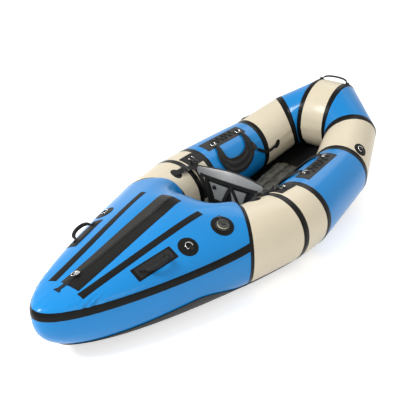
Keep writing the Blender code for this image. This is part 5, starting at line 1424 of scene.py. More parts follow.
BOW_HALF_SPAN = 0.0805
BOW_LOOP_RISE = 0.026
BOW_LOOP_LEAN = 36.0
BOW_LOOP_SIZE = 0.62


def build_bow_loop():
    frame = axle_frame(JOINTS["bow_loop_turn"])
    foot = moved(frame, 0.0, 0.0, -LOOP_BAR_HEIGHT)
    anchors = []
    for x in (-BOW_HALF_SPAN, BOW_HALF_SPAN):
        anchors.append(glue("bow_anchor_cloth", moved(foot, x), rect_flat(0.009, 0.024, 9, 15), "patch",
                            0.0011, PATCH_WALL))
        anchors += loop_keeper("bow_anchor", foot, x)
    dressed(joined("bow_loop_anchors", anchors), "hull", "patch_rubber")
    loop = web_loop("bow_loop_webbing", frame, BOW_HALF_SPAN, BOW_LOOP_RISE, BOW_LOOP_LEAN, BOW_LOOP_SIZE)
    dressed(loop, "bow_loop", "black_webbing", "bow_grab_loop")


TETHER_TURN = 62.0
TETHER_PATH = ((0.046, 0.0026), (0.038, 0.0040), (0.032, 0.0075), (0.027, 0.0125))

# Turned forms of the valve: radius, height and share of the grip's ribs
VALVE_FLANGE = ((0.0300, 0.0013, 0), (0.0305, 0.0020, 0), (0.0303, 0.0036, 0), (0.0292, 0.0045, 0),
                (0.0262, 0.0047, 0), (0.0205, 0.0047, 0), (0.0200, 0.0115, 0), (0.0192, 0.0120, 0),
                (0.0100, 0.0120, 0), (0.0098, 0.0100, 0))
CAP_SKIRT = ((0.0226, 0.0050, 0), (0.0240, 0.0052, 1.0), (0.0245, 0.0062, 1.0), (0.0245, 0.0110, 1.0),
             (0.0240, 0.0124, 1.0), (0.0222, 0.0130, 0.4), (0.0200, 0.0132, 0))
CAP_TOP = ((0.0226, 0.0125, 0), (0.0236, 0.0138, 0), (0.0234, 0.0158, 0), (0.0220, 0.0168, 0),
           (0.0160, 0.0160, 0), (0.0080, 0.0158, 0), (0.0010, 0.0158, 0))


def build_valve():
    """Valve patch with tether, valve body and cap."""
    joint = JOINTS["valve_cap_twist"]
    frame = axes_frame(Vector(joint["pos_m"]), Vector((1.0, 0.0, 0.0)), Vector(joint["axis"]))
    disc = glue("valve_disc", frame, disc_flat(0.050, 12, 64, 0.015), "patch", wrap=True)
    tab = frame @ Matrix.Rotation(math.radians(TETHER_TURN), 4, "Z")
    tether = band("valve_tether", [tab @ Vector((x, 0.0, z)) for x, z in TETHER_PATH], axis_of(tab, 2),
                  [0.0045, 0.004, 0.0035, 0.003], "plastic", 14, 0.0008)
    eye = tube_mesh("valve_tether_eye", [tab @ Vector((0.0415 + 0.006 * math.cos(v), 0.0062 * math.sin(v),
                                                      0.0052 + 0.0035 * math.cos(v)))
                                         for v in np.linspace(0.0, 2.0 * math.pi, 20, endpoint=False)],
                    axis_of(tab, 2), round_outline(0.0011, 0.0011, 8), "plastic", True)
    dressed(joined("valve_base", [disc, tether, eye]), "hull", "patch_rubber", "valve_patch")

    def turned_form(name, profile, look, ribs=0, depth=0.0, sides=72):
        turns = 2.0 * math.pi * np.arange(sides) / sides
        points = []
        for radius, height, share in profile:
            r = radius - depth * share * (0.5 - 0.5 * np.cos(ribs * turns))
            points += [tuple(frame @ Vector((a * math.cos(v), a * math.sin(v), height)))
                       for a, v in zip(r, turns)]
        faces = grid_faces(len(profile), sides, True)
        faces.append(tuple(range(sides)))
        faces.append(tuple((len(profile) - 1) * sides + c for c in reversed(range(sides))))
        return finish_mesh(name, points, faces, look)

    dressed(turned_form("valve_flange", VALVE_FLANGE, "plastic"), "hull", "valve_plastic", "valve_body")
    skirt = turned_form("valve_cap_skirt", CAP_SKIRT, "cream", 18, 0.0016, 144)
    top = turned_form("valve_cap_top", CAP_TOP, "cap")
    grips = []
    xs = np.linspace(-0.0150, 0.0150, 13)
    outlines = [round_outline(0.0024, 0.0028 * (1.0 - (abs(x) / 0.0158) ** 6), 10) for x in xs]
    for angle in (20.0, 110.0):
        bar = frame @ Matrix.Rotation(math.radians(angle), 4, "Z")
        spine = [bar @ Vector((x, 0.0, 0.0168)) for x in xs]
        grips.append(tube_mesh("valve_cap_grip", spine, axis_of(bar, 2), lambda k: outlines[k], "cap"))
    dressed(joined("valve_cap_cover", [skirt, top] + grips), "valve_cap", "black_plastic", "valve_cap")


# Round the cockpit

HIP = (1, 0.53, 6.9)
HIP_PATCH = (0.055, 0.040)
HIP_SHIFT = 0.006
HIP_STRAP_START = ((0.0, 0.018, 0.0065), (-0.004, 0.026, 0.0062), (-0.012, 0.042, 0.0055))
HIP_FOLD = ((0.018, 0.0065), (0.0262, 0.0068), (0.0285, 0.0045), (0.0262, 0.0022), (0.016, 0.0020))
HIP_DROP = ((0.34, 8.2), (0.26, 9.2), (0.22, 10.6), (0.22, 12.0))
RING_SHIFT = -0.004
ANCHOR = (0, 0.535, 7.6)
BAND_END = Vector((0.033, -0.190, 0.309))


def build_hips():
    """Hip patches with their rings, straps and buckles."""
    frame = panel_spot(*HIP)
    half_x, half_y = HIP_PATCH
    cloth = glue("hip_cloth", frame, rect_flat(half_x, half_y, 23, 17) + np.array((0.0, HIP_SHIFT)), "patch")
    bar = moved(frame, 0.0, RING_SHIFT)
    normal = axis_of(bar, 2)
    down = [bar @ Vector(p) for p in HIP_STRAP_START]
    facing = [normal] * 3
    for share, column in HIP_DROP:
        down.append(Vector(route_spot(1, share, column, 0.0035)))
        facing.append(axis_of(panel_spot(1, share, column), 2))
    strap = band("hip_strap", down, facing, [0.0140], "webbing", 60)
    fold = band("hip_fold", [bar @ Vector((0.0, y, z)) for y, z in HIP_FOLD], normal, [0.0095], "webbing", 24,
                acrosses=axis_of(bar, 0))
    buckle = ladder_buckle("hip_buckle", axes_frame(down[2], down[3] - down[1], normal), 0.015, 0.016)
    threads = stitched("hip_threads", frame, [box_outline(half_x - 0.004, half_y - 0.004, (0.0, HIP_SHIFT))],
                       PATCH_WALL + STITCH_LIFT)
    whole = joined("hip_anchor_starboard", [cloth] + kept_ring("hip", bar) + [strap, fold, threads] + buckle)
    mirrored(whole, "hip_anchor_{}", "hull", "patch_rubber", "hip_patch_{}")


def ladder_buckle(name, frame, half_x, half_y):
    """Plastic slider buckle: two rails and three bars, in a frame's plane."""
    rails = [[(x, y, 0.0003 + 0.0008 * math.cos(x / half_x * 1.5)) for x in np.linspace(-half_x, half_x, 9)]
             for y in (-half_y, half_y)]
    bars = [[(x, y, 0.0014) for y in np.linspace(-half_y, half_y, 7)] for x in (-half_x, -0.002, half_x)]
    parts = []
    for kind, paths, height in (("_rail", rails, 0.0021), ("_bar", bars, 0.0020)):
        parts += [tube_mesh(name + kind, [frame @ Vector(p) for p in path], axis_of(frame, 2),
                            round_outline(0.0019, height, 10), "plastic") for path in paths]
    return parts


def build_back_straps():
    """Straps from the aft panels to the ends of the backband."""
    frame = panel_spot(*ANCHOR)
    normal = axis_of(frame, 2)
    cloth = glue("back_strap_disc", frame, disc_flat(0.030), "patch", wrap=True)
    start = frame.translation + normal * 0.0042
    end = BAND_END + Vector((0.004, -0.0013, 0.0))
    turn = end + Vector((-0.006, -0.022, 0.004))
    middle = start.lerp(turn, 0.45) + normal * 0.008
    tail = start + (start - middle).normalized() * 0.014
    strap = band("back_strap_web", [tail, start, middle, turn, end], [normal] * 4 + [UP], [0.0150],
                 "webbing", 60)
    sewn = [tail - normal * 0.0016, start - normal * 0.0012, start.lerp(middle, 0.35)]
    block = band("back_strap_sewn", sewn, normal, [0.0115], "webbing", 16)
    buckle = ladder_buckle("back_buckle", axes_frame(middle, turn - start, normal), 0.014, 0.0180)
    back = (turn - start) * 0.10
    loose = band("back_strap_tail", [middle + normal * 0.0022, middle + normal * 0.0060 - back,
                                     middle + normal * 0.0010 - back * 2.2 + Vector((0.0, 0.006, -0.006))],
                 normal, [0.0115, 0.0112], "webbing", 20)
    threads = stitched("back_strap_threads", frame, [box_outline(0.008, 0.008)], PATCH_WALL + 0.0046)
    whole = joined("back_strap_webbing_starboard", [cloth, strap, block, loose, threads] + buckle)
    mirrored(whole, "back_strap_webbing_{}", "hull", "black_webbing", "back_strap_{}")


BACK_HALF_SPAN = 0.190
BACK_BOW = 0.018
BACK_TOP = 0.335
BACK_HEIGHT = 0.060
BACK_TILT = 0.015
BACK_END_HALF = 0.0245
BACK_HALF_WALL = 0.0058
BACK_STEPS = 97
BACK_AROUND = 40
BACK_CLOSING = 0.02
BACK_SLOW_WAVES = (0.06, 0.16)
BACK_FAST_WAVES = (0.018, 0.040)
BACK_SLOW_CREASE = 0.0007
BACK_FAST_CREASE = 0.0004
PIPING = 0.0032


def back_section(y):
    """Top, bottom and place along the boat of the backband at a distance from the middle."""
    rest = max(0.0, 1.0 - (y / BACK_HALF_SPAN) ** 2)
    end_top, end_low = BAND_END.z + BACK_END_HALF, BAND_END.z - BACK_END_HALF
    top = end_top + (BACK_TOP - end_top) * rest ** 1.2
    low = end_low + (BACK_TOP - BACK_HEIGHT - end_low) * rest ** 1.2
    return top, low, BAND_END.x + BACK_BOW * rest * rest


def build_backband():
    """Padded backband with piping and a strap along it."""
    ys = np.linspace(-BACK_HALF_SPAN, BACK_HALF_SPAN, BACK_STEPS)
    turns = 2.0 * math.pi * np.arange(BACK_AROUND) / BACK_AROUND
    c, s = np.cos(turns), np.sin(turns)
    rows, edges = [], ([], [])
    slow, fast = ripple(ys, *BACK_SLOW_WAVES), ripple(ys, *BACK_FAST_WAVES)
    for k, y in enumerate(ys):
        top, low, x = back_section(y)
        middle, half = (top + low) / 2.0, (top - low) / 2.0 - PIPING * 0.6
        closing = math.sin(min(1.0, (BACK_HALF_SPAN - abs(y)) / BACK_CLOSING) * math.pi / 2.0)
        wall = BACK_HALF_WALL * (0.35 + 0.65 * closing)
        half *= 0.5 + 0.5 * closing
        out_x = wall * np.sign(c) * np.abs(c) ** 0.55
        out_z = half * np.sign(s) * np.abs(s) ** 0.9
        crease = BACK_SLOW_CREASE * slow[k] * np.cos(2.0 * turns)
        crease += BACK_FAST_CREASE * fast[k] * np.abs(s) ** 3
        lean = BACK_TILT * max(0.0, 1.0 - (y / BACK_HALF_SPAN) ** 2)
        rows.append(np.stack([x + out_x + crease * np.sign(c) + lean * out_z / half, np.full(BACK_AROUND, y),
                              middle + out_z], -1))
        edges[0].append((x + lean, y, top - PIPING * 0.8))
        edges[1].append((x - lean, y, low + PIPING * 0.8))
    rows = np.array(rows)
    faces = grid_faces(len(ys), BACK_AROUND, True)
    faces.append(tuple(range(BACK_AROUND)))
    faces.append(tuple((len(ys) - 1) * BACK_AROUND + n for n in reversed(range(BACK_AROUND))))
    uvs = np.stack([row_lengths(rows, 0), row_lengths(rows, 1)], -1).reshape(-1, 2)
    cushion = finish_mesh("backband_cushion", rows.reshape(-1, 3), faces, "silver", uvs)
    dressed(cushion, "backrest", "silver_fabric", "backband")
    piping = round_outline(BACK_HALF_WALL * 0.80, PIPING * 0.8, 12)
    trims = [tube_mesh("backband_piping", edge, UP, piping, "binding") for edge in edges]
    line = [(p[0] - BACK_HALF_WALL - 0.0006, p[1], p[2] + 0.0095) for p in edges[1][6:-6]]
    trims.append(tube_mesh("backband_strap", line, None, band_outline(0.0085, WEB_WALL * 0.9), "webbing",
                           acrosses=UP))
    trims.append(threads_on("backband_threads", [[(p[0] - 0.0012, p[1], p[2] + side * 0.0068) for p in line]
                                                 for side in (-1.0, 1.0)]))
    dressed(joined("backband_binding", trims), "backrest", "black_webbing")


PANEL_TOP_HALF = 0.146
PANEL_LOW_HALF = 0.110
PANEL_LOW_Z = 0.112
PANEL_GAP = -0.0030
PANEL_X = 0.0340
PANEL_FIELDS = ((-0.70, -0.04), (0.04, 0.82))
PANEL_WEBS = (((-0.80, 0.02), (-0.06, 0.99)), ((0.50, 0.02), (-0.10, 0.99)), ((0.93, 0.06), (0.93, 0.99)),
              ((-0.93, 0.06), (-0.93, 0.99)))
PANEL_KNOB = (PANEL_X - 0.0075, 0.085, 0.245)
KNOB_RADIUS = 0.0105


def panel_point(u, v, inset=1.0, low=1.0):
    """Place across and height on the lower back panel, u from -1 to 1 and v from its foot to its top."""
    y = u * (PANEL_LOW_HALF + (PANEL_TOP_HALF - PANEL_LOW_HALF) * v)
    return y * inset, PANEL_LOW_Z + (back_section(y)[1] - PANEL_GAP - PANEL_LOW_Z) * v * low


def panel_grid(x, low, high, left, right, rows=21, cols=31):
    """Part of the lower back panel: shares of its height, and of its width from -1 to 1."""
    made = np.zeros((rows, cols, 3))
    for r, v in enumerate(np.linspace(low, high, rows)):
        for c, u in enumerate(np.linspace(left, right, cols)):
            made[r, c] = (x + 0.0006 * math.sin(9.0 * u + 4.0 * v), *panel_point(u, v))
    return made


def build_back_panel():
    """Cloth below the backband, with silver fields, webbing and a knob."""
    parts = [slab("panel_base", panel_grid(PANEL_X - 0.0010, 0.0, 1.0, -1.0, 1.0, 31, 61),
                  panel_grid(PANEL_X + 0.0010, 0.0, 1.0, -1.0, 1.0, 31, 61), "binding")]
    for left, right in PANEL_FIELDS:
        for side in (-1.0, 1.0):
            face = panel_grid(PANEL_X + side * 0.0020, 0.40, 0.90, left, right)
            centre = face[:, :, 1].mean()
            face[:, :, 1] = centre + (face[:, :, 1] - centre) * np.linspace(0.62, 1.0, len(face))[:, None]
            under = face.copy()
            under[..., 0] = PANEL_X + side * 0.0009
            v, u = np.linspace(-1.0, 1.0, face.shape[0])[:, None], np.linspace(-1.0, 1.0, face.shape[1])[None]
            face[..., 0] += side * 0.0022 * (1.0 - v**4) * (1.0 - u**4)
            parts.append(slab("panel_silver", face, under, "silver"))
    for side in (-1.0, 1.0):
        for (u0, v0), (u1, v1) in PANEL_WEBS:
            route = []
            for t in np.linspace(0.0, 1.0, 7):
                out = side * (0.0040 + 0.0016 * math.sin(math.pi * t))
                route.append(Vector((PANEL_X + out, *panel_point(u0 + (u1 - u0) * t, v0 + (v1 - v0) * t))))
            parts.append(band("panel_web", route, Vector((side, 0.0, 0.0)), [0.010], "webbing", 40))
    edge = [(-1.0, v) for v in np.linspace(1.0, 0.0, 12)]
    edge += [(u, 0.0) for u in np.linspace(-1.0, 1.0, 24)[1:-1]]
    edge += [(1.0, v) for v in np.linspace(0.0, 1.0, 12)]
    rim = [panel_point(u, v, 0.985, 0.99) for u, v in edge]
    parts.append(tube_mesh("panel_binding", [(PANEL_X, y, z + 0.001) for y, z in rim], None,
                           round_outline(0.0022, 0.0022, 10), "binding", acrosses=(1.0, 0.0, 0.0)))
    knob, face = Vector(PANEL_KNOB), Vector((-1.0, 0.0, 0.0))
    parts.append(tube_mesh("panel_knob", [knob + face * depth for depth in (-0.006, 0.002, 0.004)], UP,
                           lambda k: round_outline(*[KNOB_RADIUS if k < 2 else KNOB_RADIUS / 1.5] * 2, 20),
                           "plastic"))
    dressed(joined("back_panel_cloth", parts), "backrest", "silver_fabric", "back_panel")


# Seat

SEAT_ROWS = 81
SEAT_COLUMNS = 41
SEAT_MIDDLE_X = 0.395
SEAT_HALF_LENGTH = 0.295
SEAT_HALF_WIDTH = 0.146
SEAT_CHANNELS = 5
SEAT_AFT_HEIGHT = 0.092
SEAT_FORE_HEIGHT = 0.098
SEAT_SWELL = 0.006
SEAT_WAIST = 0.40
SEAT_CLEAR = 0.0012
SEAT_VOXEL = 0.0055
SEAT_CAP = 0.010
SEAT_PRESSURE = 4.0
SEAT_FRAMES = 20
SEAT_CORNER = 0.28
SEAT_GROOVE = 0.011
SEAT_SWAY = 0.0038
SEAT_FOLD = 0.0020
SEAT_CROSSES = (-0.62, -0.22, 0.20, 0.60)
SEAT_CROSS_DEPTH = 0.0050


def seat_shape(u, v, floor):
    """Point on the seat's crown and the ground under it, u along the boat and v across, from -1 to 1."""
    corner = 1.0 - math.sqrt(max(0.0, 1.0 - abs(u) ** 10))
    y = (SEAT_HALF_WIDTH - SEAT_SWELL) * (1.0 - SEAT_CORNER * corner) * v
    x = SEAT_MIDDLE_X + (SEAT_HALF_LENGTH - SEAT_SWELL) * u
    ground = floor.ray_cast(Vector((x, y, 1.0)), -UP)[0].z + SEAT_CLEAR
    crown = SEAT_AFT_HEIGHT + (SEAT_FORE_HEIGHT - SEAT_AFT_HEIGHT) * (u + 1.0) / 2.0 - SEAT_SWELL
    rise = math.sqrt(max(0.0, 1.0 - abs(u) ** 8)) * math.sqrt(max(0.0, 1.0 - abs(v) ** 6))
    return x, y, ground, crown, rise


def build_seat():
    cloth = bpy.data.objects["floor_cloth"].data
    floor = BVHTree.FromPolygons([v.co[:] for v in cloth.vertices], [p.vertices[:] for p in cloth.polygons])
    rows, cols = SEAT_ROWS, SEAT_COLUMNS
    top, bottom = np.zeros((rows, cols, 3)), np.zeros((rows, cols, 3))
    for r in range(rows):
        for c in range(cols):
            u, v = math.sin(math.pi / 2.0 * (2.0 * r / (rows - 1) - 1.0)), 2.0 * c / (cols - 1) - 1.0
            x, y, ground, crown, rise = seat_shape(u, v, floor)
            middle = ground + crown * SEAT_WAIST
            top[r, c] = (x, y, middle + crown * (1.0 - SEAT_WAIST) * rise + 0.001)
            bottom[r, c] = (x, y, ground + (middle - ground) * (1.0 - rise))
    cushion = slab("seat_cushion", top, bottom, "seat_cover")
    inflate(cushion)
    carve_seat(cushion, floor)
    dressed(cushion, "hull", "seat_fabric", "seat")


def inflate(piece):
    """Blow the cushion up as cloth under pressure, then hold every point near its start."""
    remesh = piece.modifiers.new("even", "REMESH")
    remesh.mode = "VOXEL"
    remesh.voxel_size = SEAT_VOXEL
    settle(piece)
    start = np.array([v.co[:] for v in piece.data.vertices])
    cloth = piece.modifiers.new("cloth", "CLOTH")
    cloth.settings.use_pressure = True
    cloth.settings.uniform_pressure_force = SEAT_PRESSURE
    cloth.settings.effector_weights.gravity = 0.0
    cloth.settings.quality = 5
    for number in range(1, SEAT_FRAMES + 1):
        bpy.context.scene.frame_set(number)
    settle(piece)
    bpy.context.scene.frame_set(1)
    shift = np.array([v.co[:] for v in piece.data.vertices]) - start
    shift *= np.minimum(1.0, SEAT_CAP / np.maximum(np.linalg.norm(shift, axis=1, keepdims=True), 1e-9))
    piece.data.vertices.foreach_set("co", (start + shift).astype(np.float32).ravel())
    finer = piece.modifiers.new("finer", "SUBSURF")
    finer.levels = finer.render_levels = 1
    settle(piece)


def settle(piece):
    """Apply what the piece's modifiers make of it."""
    bpy.context.view_layer.update()
    graph = bpy.context.evaluated_depsgraph_get()
    mesh = bpy.data.meshes.new_from_object(piece.evaluated_get(graph))
    look = piece.data.materials[0]
    for step in list(piece.modifiers):
        piece.modifiers.remove(step)
    piece.data = mesh
    mesh.materials.clear()
    mesh.materials.append(look)


def carve_seat(piece, floor):
    """Sewn channels along the seat, quilted cross creases between them, and a flat underside."""
    mesh = piece.data
    points = np.array([v.co[:] for v in mesh.vertices])
    normals = np.array([v.normal[:] for v in mesh.vertices])
    x = points[:, 0]
    u = np.clip((x - SEAT_MIDDLE_X) / SEAT_HALF_LENGTH, -1.0, 1.0)
    corner = 1.0 - np.sqrt(np.maximum(0.0, 1.0 - np.abs(u) ** 10))
    half = SEAT_HALF_WIDTH * (1.0 - SEAT_CORNER * corner)
    v = points[:, 1] / half
    upper = np.clip(normals[:, 2], 0.0, 1.0) ** 0.5
    inside = np.clip((1.0 - np.abs(u)) / 0.06, 0.0, 1.0)
    depth = np.zeros(len(points))
    for k in range(1, SEAT_CHANNELS):
        away = np.abs(v - (2.0 * k / SEAT_CHANNELS - 1.0)) * half
        depth += SEAT_GROOVE * (np.exp(-(away / 0.0065) ** 2) + 0.35 * np.exp(-(away / 0.020) ** 2))
        sway = 0.6 * np.sin(x / 0.021 + 1.7 * k) + 0.4 * np.sin(x / 0.0127 + 2.9 * k)
        depth += SEAT_SWAY * sway * np.exp(-((away - 0.010) / 0.011) ** 2)
        fold = np.maximum(0.0, np.sin(x / 0.0105 + 2.3 * k + 26.0 * v)) ** 3
        depth += SEAT_FOLD * fold * np.exp(-((away - 0.014) / 0.012) ** 2)
    for place in SEAT_CROSSES:
        away = np.abs(u - place) * SEAT_HALF_LENGTH
        depth += SEAT_CROSS_DEPTH * np.exp(-(away / 0.008) ** 2) * (np.abs(v) < 0.86)
    points -= normals * (depth * upper * inside)[:, None]
    for k, (px, py, pz) in enumerate(points):
        if normals[k, 2] < 0.2:
            hit = floor.ray_cast(Vector((px, py, 1.0)), -UP)[0]
            if hit is not None:
                points[k, 2] = max(pz, hit.z + 0.0008)
    mesh.vertices.foreach_set("co", points.astype(np.float32).ravel())
    mesh.update()
    mesh.shade_smooth()


# Lacing and thigh straps

SIDE = 2
LACE_SHARES = (0.155, 0.825)
LACE_COLUMN = 6.47
LACE_HALF_WIDTH = 0.037
LACE_RING_SHARES = (0.27, 0.735)
LACE_RING_HALF = 0.015
LACE_RING_DEPTH = 0.018
LACE_BAR_HEIGHT = 0.0075
CORD_RADIUS = 0.0017
CORD_SHARES = (0.335, 0.665)
CORD_COLUMNS = (6.0, 6.88)
CORD_RUNS = 9
LACE_EYE = ((-0.007, 0.0006), (-0.0042, 0.0030), (0.0, 0.0052), (0.0042, 0.0030), (0.007, 0.0006))


def build_lacing():
    """Lacing patches with rings and cord; gives the bars of the thigh straps."""
    ends = [panel_spot(SIDE, share, LACE_COLUMN) for share in LACE_SHARES]
    along = ends[1].translation - ends[0].translation
    half = along.length / 2.0
    frame = axes_frame(ends[0].translation.lerp(ends[1].translation, 0.5), along,
                       axis_of(ends[0], 2) + axis_of(ends[1], 2))
    parts = [glue("lacing_cloth", frame, rect_flat(half, LACE_HALF_WIDTH, 61, 15), "lace_patch"),
             stitched("lacing_threads", frame, [box_outline(half - 0.005, LACE_HALF_WIDTH - 0.005)],
                      PATCH_WALL + STITCH_LIFT)]
    joint = JOINTS["thigh_strap_starboard_swing"]
    centre, axle = Vector(joint["pos_m"]), Vector(joint["axis"])
    spots = [panel_spot(SIDE, share, 7.0) for share in LACE_RING_SHARES]
    bars = [centre + axle * (spot.translation - centre).dot(axle) for spot in spots]
    for spot, bar in zip(spots, bars):
        place = axes_frame(bar, axle, axis_of(spot, 2))
        parts.append(rect_ring("lacing_ring", place, LACE_RING_HALF, LACE_RING_DEPTH, CORD_RADIUS))
        foot = moved(place, 0.0, -LACE_RING_DEPTH, -LACE_BAR_HEIGHT + 0.001)
        parts.append(keeper("lacing_keeper", foot, LACE_BAR_HEIGHT - 0.001, CORD_RADIUS, 0.0095))
    base = joined("lacing_base_starboard", parts)
    mirrored(base, "lacing_base_{}", "hull", "patch_rubber", "lacing_patch_{}")

    route, webs = [], []
    step = (CORD_SHARES[1] - CORD_SHARES[0]) / CORD_RUNS
    for run in range(CORD_RUNS + 1):
        share = CORD_SHARES[0] + (CORD_SHARES[1] - CORD_SHARES[0]) * run / CORD_RUNS
        low, high = CORD_COLUMNS if run % 2 == 0 else CORD_COLUMNS[::-1]
        if run < CORD_RUNS:
            route += [route_spot(SIDE, share + step * t, low + (high - low) * t, PATCH_WALL + 0.0026)
                      for t in (0.0, 0.08, 0.92)]
        spot = panel_spot(SIDE, share, low)
        webs.append(band("lace_eye", [spot @ Vector((x, 0.0, PATCH_WALL + z)) for x, z in LACE_EYE],
                         axis_of(spot, 2), [0.0030], "webbing", 14, 0.0005))
    cord = tube_mesh("lace_cord", curve_through(route, 220), (0.0, -0.2, 1.0),
                     round_outline(CORD_RADIUS, CORD_RADIUS, 10), "webbing")
    laces = joined("lacing_cord_run_starboard", [cord] + webs)
    mirrored(laces, "lacing_cord_run_{}", "hull", "black_webbing", "lacing_cord_{}")
    return bars


# Thigh strap: share of the panel's length, column and share of the half width
THIGH_ROUTE = ((0.27, 7.45, 0.36), (0.245, 8.2, 0.50), (0.22, 9.2, 0.80), (0.29, 10.3, 1.15),
               (0.44, 10.7, 1.25), (0.58, 10.5, 1.2), (0.68, 9.8, 0.95), (0.725, 8.7, 0.6),
               (0.735, 7.6, 0.40))
THIGH_HALF = 0.034
THIGH_STAND = 0.0085
THIGH_LOOP = 0.0046
THIGH_STEPS = 120
THIGH_CREASES = (0.02, 0.05)
THIGH_WEB_HALF = 0.0098
THIGH_SECTION = ((-1.0, 0.0), (-0.94, 0.75), (-0.6, 0.95), (-0.2, 1.0), (0.2, 1.0), (0.6, 0.95), (0.94, 0.75),
                 (1.0, 0.0), (0.94, -0.75), (0.4, -0.95), (-0.4, -0.95), (-0.94, -0.75))
GUSSET_ROUTE = ((0.735, 7.75), (0.80, 9.6), (0.815, 10.3))


def build_thigh_straps(bars):
    """Padded thigh straps with their trims."""
    points = [route_spot(SIDE, share, column, THIGH_STAND) for share, column, _ in THIGH_ROUTE]
    ups = [axis_of(panel_spot(SIDE, share, column), 2) for share, column, _ in THIGH_ROUTE]
    ends = [bar + (Vector(point) - bar).normalized() * THIGH_LOOP
            for bar, point in zip(bars, (points[0], points[-1]))]
    points = [ends[0]] + points + [ends[1]]
    ups = rows_of([ups[0]] + ups + [ups[-1]], 1)
    widths = [THIGH_WEB_HALF] + [THIGH_HALF * w for _, _, w in THIGH_ROUTE] + [THIGH_WEB_HALF]
    count = THIGH_STEPS
    spine = curve_through(points, count)
    lengths = row_lengths(rows_of(points, 1), 0)
    marks, shares = lengths / lengths[-1], np.linspace(0.0, 1.0, count)
    half = np.interp(shares, marks, widths)
    turned = unit(along_line(shares, marks, ups))
    pad = np.clip((half - 0.013) / 0.010, 0.0, 1.0)
    crease = ripple(shares * 0.5, *THIGH_CREASES)

    def section(k):
        wall = 0.0012 + 0.0022 * pad[k]
        lean = 0.0010 * crease[k] * pad[k]
        return [(half[k] * x, wall * y + lean * (1.0 - x * x)) for x, y in THIGH_SECTION]

    cloth = tube_mesh("thigh_pad_cloth", spine, turned, section, "thigh")
    port = mirrored(cloth, "thigh_pad_cloth_{}", "thigh_strap_{}", "black_webbing", "thigh_strap_{}")
    along = unit(np.gradient(spine, axis=0))
    across = unit(np.cross(along, turned))
    over = np.cross(across, along)

    def beside(share, height=0.0, swell=0.0):
        """The strap's line at a share of its half width and a height over it."""
        return spine + across * (half * share)[:, None] + over * (height + swell * pad)[:, None]

    trims = []
    inner = slice(14, count - 12)
    for side in (-1.0, 1.0):
        trims.append(tube_mesh("thigh_piping", beside(side * 0.985)[inner], turned[inner],
                               round_outline(0.0016, 0.0022, 8), "binding"))
        trims.append(threads_on("thigh_threads", [beside(side * 0.86, 0.0014, 0.0020)[inner]]))
    body = slice(30, count - 34)
    grid = np.stack([beside(0.62 * v, 0.0014, 0.0019) for v in np.linspace(-1.0, 1.0, 9)], 1)[body]
    out = over[body][:, None] * 0.0006
    trims.append(slab("thigh_mesh", grid + out, grid - out, "mesh"))
    web = slice(2, count - 2)
    trims.append(tube_mesh("thigh_web", beside(0.0, 0.0020, 0.0026)[web], turned[web],
                           band_outline(THIGH_WEB_HALF, WEB_WALL), "webbing"))
    near = [route_spot(SIDE, share, column, 0.0075) for share, column in GUSSET_ROUTE]
    outer, inner_edge = curve_through(near, 15), curve_through([spine[-8], spine[-24], spine[-44]], 15)
    grid = np.stack([part_way(outer, inner_edge, v) for v in np.linspace(0.0, 1.0, 9)], 1)
    lift = turned[-24] * 0.0006
    trims.append(slab("thigh_gusset", grid + lift, grid - lift, "mesh"))
    trims.append(tube_mesh("thigh_gusset_edge", outer, tuple(turned[-24]), round_outline(0.0032, 0.0014, 8),
                           "binding"))
    mirrored(joined("thigh_trim_starboard", trims), "thigh_trim_{}", "thigh_strap_{}", "black_webbing")


FRONT_PATCH = (3, 0.355, 11.8)
FRONT_TURN = -38.0
FRONT_DISC = (0.026, 0.015)
FRONT_END = (0.815, 10.4)
FRONT_RING_COLUMN = 11.5


def build_front_straps():
    frame = panel_spot(*FRONT_PATCH) @ Matrix.Rotation(math.radians(FRONT_TURN), 4, "Z")
    cloth = glue("front_disc", frame, disc_flat(1.0) * np.array(FRONT_DISC), "patch", wrap=True)
    low = int(FRONT_RING_COLUMN * FINE)
    ring, normal = (Vector(grid[0, low]) for grid in PANELS[3])
    over = ring + normal * 0.0085
    start = frame.translation + axis_of(frame, 2) * 0.0035
    tail = start + (start - over).normalized() * 0.012
    strap = band("front_web", [tail, start, over, route_spot(SIDE, *FRONT_END, 0.009)],
                 [axis_of(frame, 2)] * 2 + [normal] * 2, [0.0085], "webbing", 50)
    whole = joined("front_strap_webbing_starboard", [cloth, strap])
    mirrored(whole, "front_strap_webbing_{}", "hull", "black_webbing", "front_strap_{}")


QUARTER_RING = (3, 0.21, 3.4)
QUARTER_PATCH = 0.036


def build_quarter_rings():
    frame = panel_spot(*QUARTER_RING)
    bar = moved(frame, 0.0, RING_SHIFT)
    disc = glue("quarter_disc", frame, disc_flat(QUARTER_PATCH), "patch", wrap=True)
    whole = joined("quarter_anchor_starboard", [disc] + kept_ring("quarter", bar))
    mirrored(whole, "quarter_anchor_{}", "hull", "patch_rubber", "quarter_ring_patch_{}")


JOINTS = {joint["name"]: joint for joint in frame["joints"]}
HULL = surface_tree([FAN])
SEATINGS = [seating(JOINTS["stern_ring_" + side + "_turn"], 0.0, RING_SEAT) for side in ("starboard", "port")]
for side in ("starboard", "port"):
    SEATINGS += [seating(JOINTS["handle_" + side + "_turn"], shift, LOOP_BAR_HEIGHT)
                 for shift in (-HANDLE_HALF_SPAN, 0.0, HANDLE_HALF_SPAN)]
valve = JOINTS["valve_cap_twist"]
SEATINGS.append((Vector(valve["pos_m"]), Vector(valve["axis"]).normalized(), VALVE_REACH))
pressed(SEATINGS)
pressed([(Vector((x, y, SLIDER_Z + (x - SLIDER_X) * ZIP_LINE_SLOPE - ZIP_LINE_DROP)), UP, ZIP_REACH)
         for x in np.linspace(*ZIP_SEAT_ENDS, 14) for y in (-ZIP_SEAT_SIDE, ZIP_SEAT_SIDE)])
FAN_NORMALS[:] = grid_normals(FAN, FAN.mean(1, keepdims=True))
HULL = surface_tree([FAN] + [points for points, _ in PANELS] + [points * FLIP for points, _ in PANELS[:5]])

